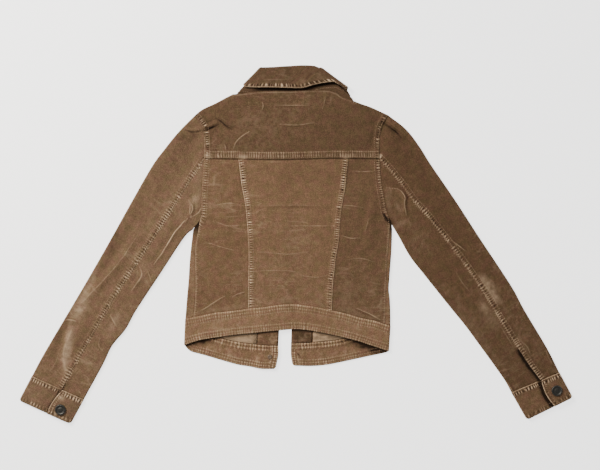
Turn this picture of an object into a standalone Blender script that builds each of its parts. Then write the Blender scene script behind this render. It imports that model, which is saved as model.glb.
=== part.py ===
"""Fine-wale corduroy jacket, cut like a denim jacket, laid flat with its back up.

The numbers in the tables are millimetres. X runs across the garment, Y from its hem
to its collar and Z up from the surface that it lies on. Left and right are the sides
seen from above. The garment is two layers of cloth that meet in a round fold along the
shoulders, the sleeves and the sides; seams cut both layers into the pieces below.
"""
import functools
import math

import bmesh
import bpy
import numpy as np

MM = 0.001
COLLECTION = "corduroy_jacket"

# Thickness of each kind of cloth, and the space left between pieces
CLOTH = 1.2
DOUBLED = 2.0
LINING = 1.0
GAP = 0.3

# Heights of the middle of each layer above the surface
LOW_LAYER = CLOTH / 2
TOP_LAYER = 4.0
BAND_LOW = DOUBLED / 2
BAND_TOP = 4.6
CUFF_TOP = 4.4
CUFF_TAB = 6.75

# Distances from a fold where its round is sampled
FOLD_STEPS = (0.5, 1.4, 3.0)

# Rows and columns of the pieces
SLEEVE_ROWS = 19
YOKE_ROWS = 6
ARMHOLE_ROWS = 5
FRONT_ARMHOLE_ROWS = 6
SIDE_ROWS = 12
WING_COLUMNS = 5
MIDDLE_COLUMNS = 10
FRONT_COLUMNS = 6
FRONT_NECK_ROWS = 12
BAND_COLUMNS = 20
BAND_ROWS = 3
CUFF_COLUMNS = 6
COLLAR_BACK_ROWS = 10
COLLAR_FRONT_ROWS = 6
COLLAR_FOLD_TURNS = (0, 36, 72, 108, 144, 180)
COLLAR_COLUMNS = 3
BUTTON_STEPS = 14

# Share of a sleeve's length over which the armhole's curve fades out
HEAD_OF_SLEEVE = 0.35

# Facings and pocket bags lie inside the fronts: widths from the front edge, columns
# and rows of the front that they cover, and how far their edges stand back
FACING_STEPS = (15.0, 30.0, 39.0)
FACING_STEPS_AT_SHOULDER = (3.0, 8.0, 13.0)
BAG_COLUMNS = slice(5, 10)
BAG_ROWS = 10
LINING_INSET = 2.4

# How far cloth above the collar's ends and the buttons stays up, and where it is down
LIFT_NARROW = (16, 40)
LIFT_WIDE = (20, 65)
BUTTON_LIFT_NARROW = (16, 30)
BUTTON_LIFT_WIDE = (18, 50)

# Where sleeve and side part below the armhole, both seams stand back a little
UNDERARM_REACH = 12.0
UNDERARM_PUSH = 2.8

# Seams that turn to the underside, measured from the fold
SHOULDER_SEAM = 18.0
UNDERARM_SEAM = 18.0

# Torso curves, rows of x, y
NECKLINE = [(-117, 278), (-91, 281), (-63, 284), (-11, 285), (41, 286), (63, 285),
            (76, 280), (85, 274), (111, 264)]
YOKE_SEAM = [(-169, 160), (-104, 159), (-57, 158), (-11, 158), (63, 160), (154, 160)]
BAND_SEAM = [(-204, -136), (-178, -131), (-150, -125), (-122, -122), (-85, -117),
             (-57, -114), (-30, -110), (-2, -109), (13, -111), (35, -114), (63, -120),
             (91, -126), (118, -134), (146, -140), (174, -149)]
BACK_HEM = [(-206, -184), (-178, -175), (-141, -169), (-113, -165), (-85, -162),
            (-57, -159), (-33, -157), (-11, -155), (7, -155), (26, -157), (63, -164),
            (109, -175), (137, -184), (171, -195)]

# One entry for each side of the torso: curves as rows of x, y, from top to bottom
TORSO = {
    "left": {
        "shoulder": [(-188, 238), (-179, 246), (-168, 253), (-150, 261), (-131, 271),
                     (-117, 278)],
        "armhole_yoke": [(-188, 238), (-179, 228), (-171, 215), (-169, 185), (-169, 160)],
        "armhole_side": [(-169, 160), (-172, 121), (-174, 84), (-176, 52), (-189, 31)],
        "armhole_front": [(-188, 238), (-176, 222), (-162, 200), (-156, 170),
                          (-158, 135), (-164, 100), (-174, 60), (-189, 31)],
        "side_seam": [(-180, 28), (-185, 0), (-186, -24), (-185, -64), (-186, -101)],
        "side_seam_end": -189,
        "side_seam_start": 24.0,
        "side_fold": [(-189, 31), (-193, 0), (-196, -31), (-198, -64), (-201, -98),
                      (-204, -136)],
        "princess": [(-103, 136), (-100, 111), (-95, 84), (-92, 62), (-88, 10),
                     (-87, -27), (-88, -64)],
        "princess_ends": (-106, -88),
        "front_neck": [(-117, 278), (-111, 254), (-96, 228), (-72, 208), (-44, 193),
                       (-31, 190)],
        "front_edge": [(-31, 190), (-32, 80), (-31, -40), (-30, -120), (-33, -186)],
        "band_end": [(-33, -186), (-33, -203), (-38, -227)],
        "front_band_seam": [(-204, -136), (-168, -160), (-141, -171), (-110, -179),
                            (-70, -184), (-33, -186)],
        "front_hem": [(-206, -184), (-197, -194), (-187, -198), (-168, -203),
                      (-141, -211), (-109, -220), (-85, -224),
                      (-63, -228), (-38, -228)],
    },
    "right": {
        "shoulder": [(170, 240), (155, 247), (137, 255), (122, 260), (111, 264)],
        "armhole_yoke": [(170, 240), (163, 228), (157, 213), (154, 191), (154, 160)],
        "armhole_side": [(154, 160), (155, 139), (158, 111), (163, 84), (167, 62),
                         (176, 41)],
        "armhole_front": [(170, 240), (160, 222), (147, 200), (141, 170), (143, 135),
                          (151, 100), (162, 65), (176, 41)],
        "side_seam": [(172, 19), (168, -31), (166, -74), (165, -101)],
        "side_seam_end": 164,
        "side_seam_start": 6.0,
        "side_fold": [(176, 41), (177, 25), (176, -9), (174, -37), (172, -64),
                      (171, -82), (173, -101), (174, -129), (174, -149)],
        "princess": [(93, 130), (90, 102), (85, 74), (81, 43), (79, 10), (74, -20),
                     (71, -46), (68, -74)],
        "princess_ends": (96, 66),
        "front_neck": [(111, 264), (106, 242), (92, 220), (67, 203), (32, 191),
                       (-6, 188)],
        "front_edge": [(-6, 188), (-5, 80), (-6, -40), (-7, -120), (-9, -182)],
        "band_end": [(-9, -182), (-9, -203), (-6, -222)],
        "front_band_seam": [(174, -149), (128, -160), (91, -172), (63, -177),
                            (30, -180), (-9, -182)],
        "front_hem": [(171, -195), (165, -198), (137, -204), (109, -210), (81, -216),
                      (54, -221), (26, -223), (-6, -222)],
    },
}

# Sleeves: across is measured from the line between shoulder and cuff towards the body.
# Curves are rows of along, across; the tab is where the cuff's upper end lies.
SLEEVES = {
    "left": {
        "direction": -121.95, "towards_body": 1,
        "outer": [(0, 0), (40, -9), (80, -14), (120, -17), (200, -14), (280, -10),
                  (360, -7), (440, -5), (520, -3), (565, 0)],
        "back_seam": [(120, 56), (200, 56), (280, 54), (360, 52), (440, 54), (500, 56),
                      (557, 59)],
        "inner": [(200, 102), (280, 100), (360, 98), (400, 100), (440, 95), (480, 99),
                  (551, 103)],
        "hem": [(616, 4), (599, 106)],
        "tab": ((557, 59), (611, 61)), "tab_runs": 1,
        "button": (589.5, 77.4),
    },
    "right": {
        "direction": -56.37, "towards_body": -1,
        "outer": [(0, 0), (40, -13), (80, -16), (120, -15), (200, -16), (280, -15),
                  (360, -15), (400, -14), (440, -10), (520, -6), (570, 0)],
        "back_seam": [(80, 54), (120, 50), (160, 48), (200, 42), (280, 36), (360, 34),
                      (440, 37), (520, 38), (563, 36)],
        "inner": [(200, 107), (240, 110), (280, 107), (360, 100), (400, 96), (440, 94),
                  (520, 91), (552, 93)],
        "hem": [(621, 5), (608, 97)],
        "tab": ((563, 36), (617, 42)), "tab_runs": -1,
        "button": (595.1, 22.6),
    },
}
CUFF_UNDERLAP = 28.0

# Collar: the roll line and the fall's edge on the back, and each front end
ROLL_LINE = [(-69, 325), (-59, 327), (-39, 328), (-11, 330), (18, 331), (41, 329),
             (55, 325)]
FALL_EDGE = [(-98, 293), (-80, 290), (-52, 290), (-11, 289), (13, 289), (31, 294),
             (50, 298), (65, 300), (76, 299.5), (86, 294.5), (99, 290.5)]
COLLAR_FRONT = {
    "left": {"roll": [(-69, 325), (-59, 287), (-52, 258), (-41, 228), (-31, 202)],
             "edge": [(-98, 293), (-105, 269), (-107, 243), (-96, 208), (-74, 158)]},
    "right": {"roll": [(55, 325), (51, 280), (41, 250), (20, 222), (-6, 200)],
              "edge": [(99, 290.5), (102, 264), (100, 236), (82, 200), (52, 152)]},
}
COLLAR_MIDDLE = 5.7
COLLAR_RADIUS = 3.1
ROLL_RADIUS = 1.6
COLLAR_LIFT = 2.6
COLLAR_BACK_SHARE = 0.9
COLLAR_CORNER = 4.0
COLLAR_FOLD_INSET = 9.0
COLLAR_FRONT_INSET = 2.5

# Buttons: the front ones lie under the left front edge, the others on top
FRONT_BUTTONS = (140, 80, 20, -40, -100)
BAND_BUTTON = -206
BUTTON_FROM_EDGE = 15.0
BUTTON_RADIUS = 8.5
CUFF_BUTTON_RADIUS = 10.0
BUTTON_LIFT = 2.4
BUTTON_LIFT_FADE = (160, 200)
BUTTON_THICKNESS = 2.0
CUFF_BUTTON_THICKNESS = 3.2
TACK_RADIUS = 4.3
TACK_THICKNESS = 1.2

# Profile of a button, from its back to its face: shares of its radius and its height
BUTTON_PROFILE = [(0, 0), (0.86, 0), (1.0, 0.35), (0.94, 0.9), (0.8, 1.0), (0.68, 0.74),
                  (0, 0.62)]

# Largest folds of the top layer: x and y of both ends, width and height
FOLDS = [
    (-205, 213, -172, 211, 6, 1.7),
    (-172, 211, -142, 224, 6, 1.6),
    (-90, 211, -103, 203, 6, 1.2),
    (-103, 203, -116, 176, 6, 1.4),
    (178, 107, 202, 102, 7, 1.5),
    (202, 102, 213, 43, 8, 1.7),
    (-179, 61, -214, 39, 7, 1.7),
    (-214, 39, -265, -42, 8, 1.7),
    (-289, 24, -332, -31, 8, 1.7),
    (-332, -31, -350, -92, 8, 1.7),
    (-350, -92, -363, -124, 8, 1.6),
    (-390, -102, -415, -147, 12, 1.7),
    (-415, -147, -430, -240, 12, 1.7),
    (-289, -46, -311, -96, 7, 1.5),
    (285, 10, 315, -13, 8, 1.7),
    (337, -55, 378, -120, 14, 1.7),
    (412, -176, 460, -194, 9, 1.4),
    (-178, -122, -130, -93, 6, 1.5),
    (111, -116, 155, -139, 6, 1.5),
    (131, 42, 122, 13, 7, 1.6),
]


def smooth(rows, per_span=14):
    """Points close together on a smooth curve through the rows of a table."""
    p = np.array(rows, float)
    p = np.vstack([2 * p[0] - p[1], p, 2 * p[-1] - p[-2]])
    t = np.linspace(0, 1, per_span, endpoint=False)[:, None]
    spans = []
    for a, b, c, d in zip(p, p[1:], p[2:], p[3:]):
        spans.append(b + 0.5 * t * (c - a + t * (2 * a - 5 * b + 4 * c - d
                                                 + t * (3 * b - a - 3 * c + d))))
    return np.vstack(spans + [p[-2:-1]])


def run_of(curve):
    """Distance along a curve at each of its points."""
    steps = np.linalg.norm(np.diff(curve, axis=0), axis=1)
    return np.concatenate([[0], np.cumsum(steps)])


def length_of(curve):
    """Whole length of a curve."""
    return run_of(curve)[-1]


def along(curve, fractions):
    """Points at fractions of a curve's length."""
    run = run_of(curve)
    where = np.asarray(fractions, float) * run[-1]
    return np.stack([np.interp(where, run, curve[:, k]) for k in (0, 1)], axis=1)


def fraction_at_x(curve, x):
    """Fraction of the length where a curve that runs along X reaches x."""
    run = run_of(curve)
    return float(np.interp(x, curve[:, 0], run)) / run[-1]


def between(curve, start, end, fractions):
    """Points on the stretch of a curve between two of its fractions."""
    return along(curve, start + (end - start) * np.asarray(fractions))


def even(count):
    """Fractions from 0 to 1 in equal steps."""
    return np.linspace(0, 1, count + 1)


def blend(a, b, weights):
    """Points between a and b, one for each weight."""
    w = np.asarray(weights, float)[:, None]
    return np.asarray(a) * (1 - w) + np.asarray(b) * w


def ramp(value, start, end):
    """Soft step from 0 at start to 1 at end."""
    t = np.clip((value - start) / (end - start), 0, 1)
    return t * t * (3 - 2 * t)


def distance_to(points, curve):
    """Distance of each point to a curve."""
    a, b = curve[:-1], curve[1:]
    step = b - a
    rel = points[:, None, :] - a[None]
    t = np.clip((rel * step).sum(2) / (step * step).sum(1), 0, 1)
    return np.linalg.norm(rel - t[..., None] * step, axis=2).min(1)


def inside(points, outline):
    """True for the points within a closed outline."""
    x, y = points[:, 0], points[:, 1]
    result = np.zeros(len(points), bool)
    for (x1, y1), (x2, y2) in zip(outline, np.roll(outline, -1, axis=0)):
        crosses = (y1 > y) != (y2 > y)
        slope = (x2 - x1) / (y2 - y1) if y2 != y1 else 0.0
        result ^= crosses & (x < x1 + (y - y1) * slope)
    return result


def sleeve_points(side, rows):
    """Places on the surface of rows of along, across on a sleeve."""
    sleeve = SLEEVES[side]
    angle = math.radians(sleeve["direction"])
    down = np.array([math.cos(angle), math.sin(angle)])
    across = np.array([-down[1], down[0]]) * sleeve["towards_body"]
    rows = np.array(rows, float)
    shoulder = np.array(TORSO[side]["shoulder"][0], float)
    return shoulder + rows[:, :1] * down + rows[:, 1:] * across


@functools.cache
def sleeve_curves(side):
    """Outer fold, back seam and inner fold of a sleeve, from armhole to cuff."""
    sleeve, torso = SLEEVES[side], TORSO[side]
    outer = smooth(sleeve_points(side, sleeve["outer"]))
    seam = smooth(np.vstack([torso["armhole_yoke"][-1:],
                             sleeve_points(side, sleeve["back_seam"])]))
    inner = smooth(np.vstack([torso["armhole_side"][-1:],
                              sleeve_points(side, sleeve["inner"])]))
    return outer, seam, inner


def collar_outline(side):
    """Outline of the collar's front end, which lies under the front."""
    front = COLLAR_FRONT[side]
    return np.vstack([smooth(front["roll"], 6), smooth(front["edge"], 6)[::-1]])


def side_edge(side):
    """The fold at the side of the torso, down to the hem."""
    return np.vstack([smooth(TORSO[side]["side_fold"]), TORSO[side]["front_hem"][:1]])


FOLD_LINES = []
for SIDE in TORSO:
    OUTER, _, INNER = sleeve_curves(SIDE)
    HEM = sleeve_points(SIDE, SLEEVES[SIDE]["hem"])
    FOLD_LINES += [smooth(TORSO[SIDE]["shoulder"]), side_edge(SIDE),
                   np.vstack([OUTER, HEM[:1]]), np.vstack([INNER, HEM[1:]])]
COLLAR_OUTLINES = [collar_outline(SIDE) for SIDE in COLLAR_FRONT]


def lift(points, wide):
    """How far the collar ends and the front buttons lift the cloth above them."""
    near, far = LIFT_WIDE if wide else LIFT_NARROW
    raised = np.zeros(len(points))
    for outline in COLLAR_OUTLINES:
        away = distance_to(points, np.vstack([outline, outline[:1]]))
        away[inside(points, outline)] = 0
        raised = np.maximum(raised, COLLAR_LIFT * (1 - ramp(away, near, far)))
    edge = smooth(TORSO["left"]["front_edge"] + TORSO["left"]["band_end"][1:])
    middle = np.interp(points[:, 1], edge[::-1, 1], edge[::-1, 0]) - BUTTON_FROM_EDGE
    near, far = BUTTON_LIFT_WIDE if wide else BUTTON_LIFT_NARROW
    away = np.abs(points[:, 0] - middle)
    above_collar = ramp(points[:, 1], *BUTTON_LIFT_FADE)
    strip = BUTTON_LIFT * (1 - ramp(away, near, far)) * (1 - above_collar)
    return np.maximum(raised, strip)


def fold_relief(points):
    """Height of the soft folds in the top layer."""
    relief = np.zeros(len(points))
    for x1, y1, x2, y2, width, height in FOLDS:
        away = distance_to(points, np.array([(x1, y1), (x2, y2)], float))
        relief = np.maximum(relief, height * np.exp(-(away / width) ** 2))
    return relief


def lay(plan, layer, low=LOW_LAYER, top=TOP_LAYER):
    """Give points in plan the height of the top (1) or the low (-1) layer."""
    flat = plan.reshape(-1, 2)
    lower = low + lift(flat, False)
    upper = top + lift(flat, True) + fold_relief(flat)
    from_fold = np.min([distance_to(flat, line) for line in FOLD_LINES], axis=0)
    middle = (low + top) / 2 + lift(flat, False) / 2 + lift(flat, True) / 2
    radius = (top - low) / 2 + lift(flat, True) / 2 - lift(flat, False) / 2
    turn = np.clip(1 - from_fold / radius, 0, 1)
    round_part = np.sqrt(1 - turn ** 2)
    reach = upper - middle if layer > 0 else middle - lower
    z = middle + layer * reach * round_part
    return np.concatenate([flat, z[:, None]], axis=1).reshape(plan.shape[:-1] + (3,))


def patch(first, last, start, end, rows, columns):
    """Grid in plan between four edges; first and last run along the columns."""
    v, u = rows[:, None, None], columns[None, :, None]
    across = first[None] * (1 - v) + last[None] * v
    down = start[:, None] * (1 - u) + end[:, None] * u
    corners = (start[0] * (1 - u) + end[0] * u) * (1 - v) + \
        (start[-1] * (1 - u) + end[-1] * u) * v
    return across + down - corners


def clear_scene():
    for obj in list(bpy.data.objects):
        bpy.data.objects.remove(obj)


def material(name, colour, roughness, metallic=0.0):
    """Plain Principled material."""
    made = bpy.data.materials.new(name)
    made.use_nodes = True
    shader = made.node_tree.nodes["Principled BSDF"]
    shader.inputs["Base Color"].default_value = (*colour, 1)
    shader.inputs["Roughness"].default_value = roughness
    shader.inputs["Metallic"].default_value = metallic
    return made


def place(obj, finish):
    """Put an object with its finish in the jacket's collection."""
    bpy.data.collections[COLLECTION].objects.link(obj)
    obj.data.materials.append(finish)
    return obj


def draw_in_edges(bm, distance):
    """Move the open edges of a surface inwards, to leave a gap at each seam."""
    moves = {}
    for edge in bm.edges:
        if not edge.is_boundary:
            continue
        face = edge.link_faces[0]
        a, b = edge.verts
        inward = face.normal.cross(b.co - a.co).normalized()
        if inward.dot(face.calc_center_median() - a.co) < 0:
            inward.negate()
        for vert in (a, b):
            moves.setdefault(vert, []).append(inward)
    for vert, directions in moves.items():
        total = sum(directions[1:], directions[0].copy())
        share = max(total.length_squared / len(directions), 0.5)
        vert.co += total * distance / share


def cloth(name, grids, thickness, finish, gap=GAP):
    """A wall of cloth on one or more grids of points that join at common edges."""
    bm = bmesh.new()
    for grid in grids:
        verts = [[bm.verts.new(point * MM) for point in row] for row in grid]
        for upper, lower in zip(verts, verts[1:]):
            for k in range(len(upper) - 1):
                bm.faces.new((upper[k], upper[k + 1], lower[k + 1], lower[k]))
    bmesh.ops.remove_doubles(bm, verts=bm.verts, dist=0.05 * MM)
    bmesh.ops.recalc_face_normals(bm, faces=bm.faces)
    bm.normal_update()
    draw_in_edges(bm, gap / 2 * MM)
    mesh = bpy.data.meshes.new(name)
    bm.to_mesh(mesh)
    bm.free()
    mesh.shade_smooth()
    obj = place(bpy.data.objects.new(name, mesh), finish)
    wall = obj.modifiers.new("wall", "SOLIDIFY")
    wall.thickness = thickness * MM
    wall.offset = 0
    return obj


def near_folds(length, start_steps, end_steps, count):
    """Fractions of a length, close together near each end that is a fold."""
    head = [0.0] + [step / length for step in start_steps]
    tail = [1 - step / length for step in end_steps][::-1] + [1.0]
    middle = np.linspace(head[-1], tail[0], count + 1)
    return np.array(head[:-1] + list(middle) + tail[1:])


def section(side, t, span):
    """Plan points across a sleeve at t of its length, on one span of a layer."""
    torso = TORSO[side]
    outer, seam, inner = (along(curve, [t])[0] for curve in sleeve_curves(side))
    ends = {"yoke": (outer, seam), "side": (seam, inner), "front": (outer, inner)}[span]
    armhole = smooth(torso["armhole_" + span])
    width = np.linalg.norm(ends[1] - ends[0]) if t > 0 else length_of(armhole)
    if span == "yoke":
        f = near_folds(width, FOLD_STEPS, (), YOKE_ROWS)
    elif span == "side":
        tip = torso["side_seam_start"] * (1 - t) + UNDERARM_SEAM * t
        f = np.append(even(ARMHOLE_ROWS)[:-1] * (1 - tip / width),
                      near_folds(width, (), FOLD_STEPS + (tip,), 1)[1:])
    else:
        f = near_folds(width, FOLD_STEPS + (SHOULDER_SEAM,),
                       FOLD_STEPS + (UNDERARM_SEAM,), FRONT_ARMHOLE_ROWS)
    bulge = along(armhole, f) - blend(armhole[0], armhole[-1], f)
    fade = max(0.0, 1 - t / HEAD_OF_SLEEVE) ** 2
    return blend(ends[0], ends[1], f) + bulge * fade


def part_underarm(plan, side, curve):
    """Move points next to the underarm along a fold that starts there."""
    underarm = np.array(TORSO[side]["armhole_side"][-1], float)
    down = (curve[6] - curve[0]) / np.linalg.norm(curve[6] - curve[0])
    away = np.linalg.norm(plan - underarm, axis=-1, keepdims=True)
    return plan + down * UNDERARM_PUSH * (1 - ramp(away, 0, UNDERARM_REACH))


def sleeve(side, finish):
    """Upper and under sleeve: the upper one holds the fold at the outside."""
    stations = even(SLEEVE_ROWS)
    inner = sleeve_curves(side)[2]
    yoke_span = np.array([section(side, t, "yoke") for t in stations])
    side_span = np.array([section(side, t, "side") for t in stations])
    low_span = np.array([section(side, t, "front") for t in stations])
    side_span = part_underarm(side_span, side, inner)
    low_span = part_underarm(low_span, side, inner)
    turn = len(FOLD_STEPS) + 1 + FRONT_ARMHOLE_ROWS
    cloth("sleeve_upper_" + side,
          [lay(yoke_span, 1), lay(low_span[:, :turn + 1], -1)], CLOTH, finish)
    cloth("sleeve_under_" + side,
          [lay(side_span, 1), lay(low_span[:, turn:], -1)], CLOTH, finish)


def princess(side):
    """Seam between the back's middle and side panels, from yoke to waistband."""
    seam, band = smooth(YOKE_SEAM), smooth(BAND_SEAM)
    x_top, x_bottom = TORSO[side]["princess_ends"]
    top = along(seam, [fraction_at_x(seam, x_top)])
    bottom = along(band, [fraction_at_x(band, x_bottom)])
    return smooth(np.vstack([top, TORSO[side]["princess"], bottom]))


def side_seam(side):
    """Visible side seam, from the armhole to the waistband."""
    torso, band = TORSO[side], smooth(BAND_SEAM)
    start = section(side, 0, "side")[ARMHOLE_ROWS]
    end = along(band, [fraction_at_x(band, torso["side_seam_end"])])
    return smooth(np.vstack([start, torso["side_seam"], end]))


def panel_rows(side):
    """Outer edge of a back side panel, and the fractions of its height."""
    armhole = section(side, 0, "side")[:ARMHOLE_ROWS + 1]
    seam = along(side_seam(side), even(SIDE_ROWS))
    edge = np.vstack([armhole, seam[1:]])
    return edge, run_of(edge) / length_of(edge)


def stretch(curve, x_start, x_end, count):
    """Evenly spaced points of a curve between two values of X."""
    ends = [fraction_at_x(curve, x) for x in (x_start, x_end)]
    return between(curve, *ends, even(count))


def back_panels(finish):
    """Middle and side panels of the back, between yoke and waistband."""
    yoke, band = smooth(YOKE_SEAM), smooth(BAND_SEAM)
    middle_edges = []
    for side, torso in TORSO.items():
        edge, rows = panel_rows(side)
        inner = along(princess(side), rows)
        middle_edges.append((inner, rows))
        top = stretch(yoke, edge[0, 0], inner[0, 0], WING_COLUMNS)
        bottom = stretch(band, edge[-1, 0], inner[-1, 0], WING_COLUMNS)
        plan = patch(top, bottom, edge, inner, rows, even(WING_COLUMNS))
        plan = part_underarm(plan, side, side_edge(side))
        cloth("back_side_panel_" + side, [lay(plan, 1)], CLOTH, finish)
    (left, left_rows), (right, right_rows) = middle_edges
    top = stretch(yoke, left[0, 0], right[0, 0], MIDDLE_COLUMNS)
    bottom = stretch(band, left[-1, 0], right[-1, 0], MIDDLE_COLUMNS)
    rows = (left_rows + right_rows) / 2
    plan = patch(top, bottom, left, right, rows, even(MIDDLE_COLUMNS))
    cloth("back_center_panel", [lay(plan, 1)], CLOTH, finish)


def shoulder_seam(side, fractions):
    """Seam in front of the shoulder fold, from armhole to neck."""
    armhole = section(side, 0, "front")[len(FOLD_STEPS) + 1]
    neck = smooth(TORSO[side]["front_neck"])
    return blend(armhole, along(neck, [SHOULDER_SEAM / length_of(neck)])[0], fractions)


def back_yoke(finish):
    """Yoke, with a flap over each shoulder down to the front shoulder seam."""
    seam, neck = smooth(YOKE_SEAM), smooth(NECKLINE)
    wings = even(WING_COLUMNS)
    edges = {side: section(side, 0, "yoke") for side in TORSO}
    tops = {side: along(smooth(TORSO[side]["shoulder"]), wings) for side in TORSO}
    x = [edges["left"][-1, 0], princess("left")[0, 0],
         princess("right")[0, 0], edges["right"][-1, 0]]
    bottom = np.vstack([stretch(seam, x[0], x[1], WING_COLUMNS),
                        stretch(seam, x[1], x[2], MIDDLE_COLUMNS)[1:],
                        stretch(seam, x[2], x[3], WING_COLUMNS)[1:]])
    top = np.vstack([tops["left"], along(neck, even(MIDDLE_COLUMNS))[1:],
                     tops["right"][::-1][1:]])
    columns = run_of(bottom) / length_of(bottom)
    rows = run_of(edges["left"]) / length_of(edges["left"])
    plan = patch(top, bottom, edges["left"], edges["right"], rows, columns)
    grids = [lay(plan, 1)]
    flap_rows = np.array((0,) + FOLD_STEPS + (SHOULDER_SEAM,))
    for side in TORSO:
        neck_edge = smooth(TORSO[side]["front_neck"])
        neck_edge = along(neck_edge, flap_rows / length_of(neck_edge))
        armhole = section(side, 0, "front")[:len(flap_rows)]
        plan = patch(tops[side], shoulder_seam(side, wings), armhole, neck_edge,
                     flap_rows / SHOULDER_SEAM, wings)
        grids.append(lay(plan, -1))
    cloth("back_yoke", grids, CLOTH, finish)


def front_columns(length):
    """Fractions across a front, close together at the side fold."""
    return near_folds(length, FOLD_STEPS, FACING_STEPS, FRONT_COLUMNS)


def front(side, finish, bag_finish):
    """One front, with the strip that comes round the side to the visible side seam.

    The facing and the pocket bag inside it are made from its points, moved up.
    """
    torso = TORSO[side]
    fold = along(smooth(torso["side_fold"]), even(SIDE_ROWS))
    armhole = section(side, 0, "front")[len(FOLD_STEPS) + 1:]
    outer = np.vstack([armhole, fold[1:]])
    rows = run_of(outer) / length_of(outer)
    neck, edge = smooth(torso["front_neck"]), smooth(torso["front_edge"])
    neck = between(neck, SHOULDER_SEAM / length_of(neck), 1,
                   even(FRONT_NECK_ROWS))
    inner = along(np.vstack([neck, edge[1:]]), rows)
    band = smooth(torso["front_band_seam"])
    columns = front_columns(length_of(band))
    shoulder = shoulder_seam(side, [0, 1])
    shoulder = blend(*shoulder, near_folds(length_of(shoulder), FOLD_STEPS,
                                           FACING_STEPS_AT_SHOULDER, FRONT_COLUMNS))
    plan = patch(shoulder, along(band, columns), outer, inner, rows, columns)
    plan = part_underarm(plan, side, side_edge(side))
    strip_top = section(side, 0, "side")[ARMHOLE_ROWS:][::-1]
    seam = along(side_seam(side), even(SIDE_ROWS))
    back_band = smooth(BAND_SEAM)
    strip_columns = near_folds(abs(seam[-1, 0] - fold[-1, 0]), FOLD_STEPS, (), 1)
    x = fold[-1, 0] + (seam[-1, 0] - fold[-1, 0]) * strip_columns
    strip_bottom = along(back_band, [fraction_at_x(back_band, value) for value in x])
    strip = patch(strip_top, strip_bottom, fold, seam, even(SIDE_ROWS), strip_columns)
    strip = part_underarm(strip, side, side_edge(side))
    cloth("front_panel_" + side, [lay(plan, -1), lay(strip, 1)], CLOTH, finish)

    moved_up = lay(plan, -1) + (0, 0, CLOTH / 2 + GAP + LINING / 2)
    below_neck = np.argmax(plan[:, -1, 1] < neck[-1, 1] - 2)
    facing = moved_up[below_neck:, -len(FACING_STEPS) - 1:]
    cloth("front_facing_" + side, [facing], LINING, finish, LINING_INSET)
    cloth("pocket_bag_" + side, [moved_up[-BAG_ROWS:, BAG_COLUMNS]], LINING, bag_finish,
          LINING_INSET)


def waistband(finish):
    """Doubled strip from one front edge, round the back, to the other."""
    grids = []
    hem, seam = smooth(BACK_HEM), smooth(BAND_SEAM)
    columns = near_folds(length_of(seam), FOLD_STEPS, FOLD_STEPS, BAND_COLUMNS)
    rows = even(BAND_ROWS)
    plan = patch(along(seam, columns), along(hem, columns), blend(seam[0], hem[0], rows),
                 blend(seam[-1], hem[-1], rows), rows, columns)
    grids.append(lay(plan, 1, BAND_LOW, BAND_TOP))
    for torso in TORSO.values():
        seam, hem = smooth(torso["front_band_seam"]), smooth(torso["front_hem"])
        columns = front_columns(length_of(seam))
        plan = patch(along(seam, columns), along(hem, columns),
                     blend(seam[0], hem[0], rows), along(smooth(torso["band_end"]), rows),
                     rows, columns)
        grids.append(lay(plan, -1, BAND_LOW, BAND_TOP))
    cloth("waistband", grids, DOUBLED, finish)


def cuff(side, finish):
    """Doubled strip round the wrist; its buttoned end lies over the other end."""
    sleeve = SLEEVES[side]
    outer, _, inner = sleeve_curves(side)
    top = (outer[-1], inner[-1])
    hem = sleeve_points(side, sleeve["hem"])
    width = np.linalg.norm(top[1] - top[0])
    tab = sleeve_points(side, sleeve["tab"])
    tab_at = [np.linalg.norm(tab[0] - top[0]) / width,
              np.linalg.norm(tab[1] - hem[0]) / width]
    runs = sleeve["tab_runs"]
    lap = CUFF_UNDERLAP / width
    fold = 1 if runs > 0 else 0

    def strip(start, end, fractions):
        rows = []
        for v in even(BAND_ROWS):
            a, b = blend(top[0], hem[0], [v])[0], blend(top[1], hem[1], [v])[0]
            c = start(v) + (end(v) - start(v)) * fractions
            rows.append(blend(a, b, c))
        return np.array(rows)

    def tab_line(v):
        return tab_at[0] * (1 - v) + tab_at[1] * v

    over = near_folds(width * abs(fold - tab_at[0]), (), FOLD_STEPS, CUFF_COLUMNS)
    under = near_folds(width, FOLD_STEPS, FOLD_STEPS, CUFF_COLUMNS)
    back = near_folds(width * (abs(1 - fold - tab_at[0]) + lap), FOLD_STEPS, (),
                      CUFF_COLUMNS)
    over_plan = strip(tab_line, lambda v: fold, over)
    over_grid = lay(over_plan, 1, BAND_LOW, CUFF_TOP)
    from_tab = over * abs(fold - tab_at[0])
    raised = (CUFF_TAB - CUFF_TOP) * (1 - ramp(from_tab, lap, abs(fold - tab_at[0])))
    over_grid[..., 2] += raised[None]
    under_plan = strip(lambda v: fold, lambda v: 1 - fold, under)
    back_plan = strip(lambda v: 1 - fold, lambda v: tab_line(v) + runs * lap, back)
    cloth("cuff_" + side, [over_grid, lay(under_plan, -1, BAND_LOW, CUFF_TOP),
                           lay(back_plan, 1, BAND_LOW, CUFF_TOP)],
          DOUBLED, finish, 2 * GAP)


def inset_point(curve, on_line, outward, inset):
    """Point of a curve at a given depth inside a line, clear of the curve's start."""
    curve = curve[run_of(curve) > COLLAR_CORNER]
    depth = (on_line - curve[:len(curve) // 2]) @ outward
    return np.array([np.interp(inset, depth, curve[:len(depth), k]) for k in (0, 1)])


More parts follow.
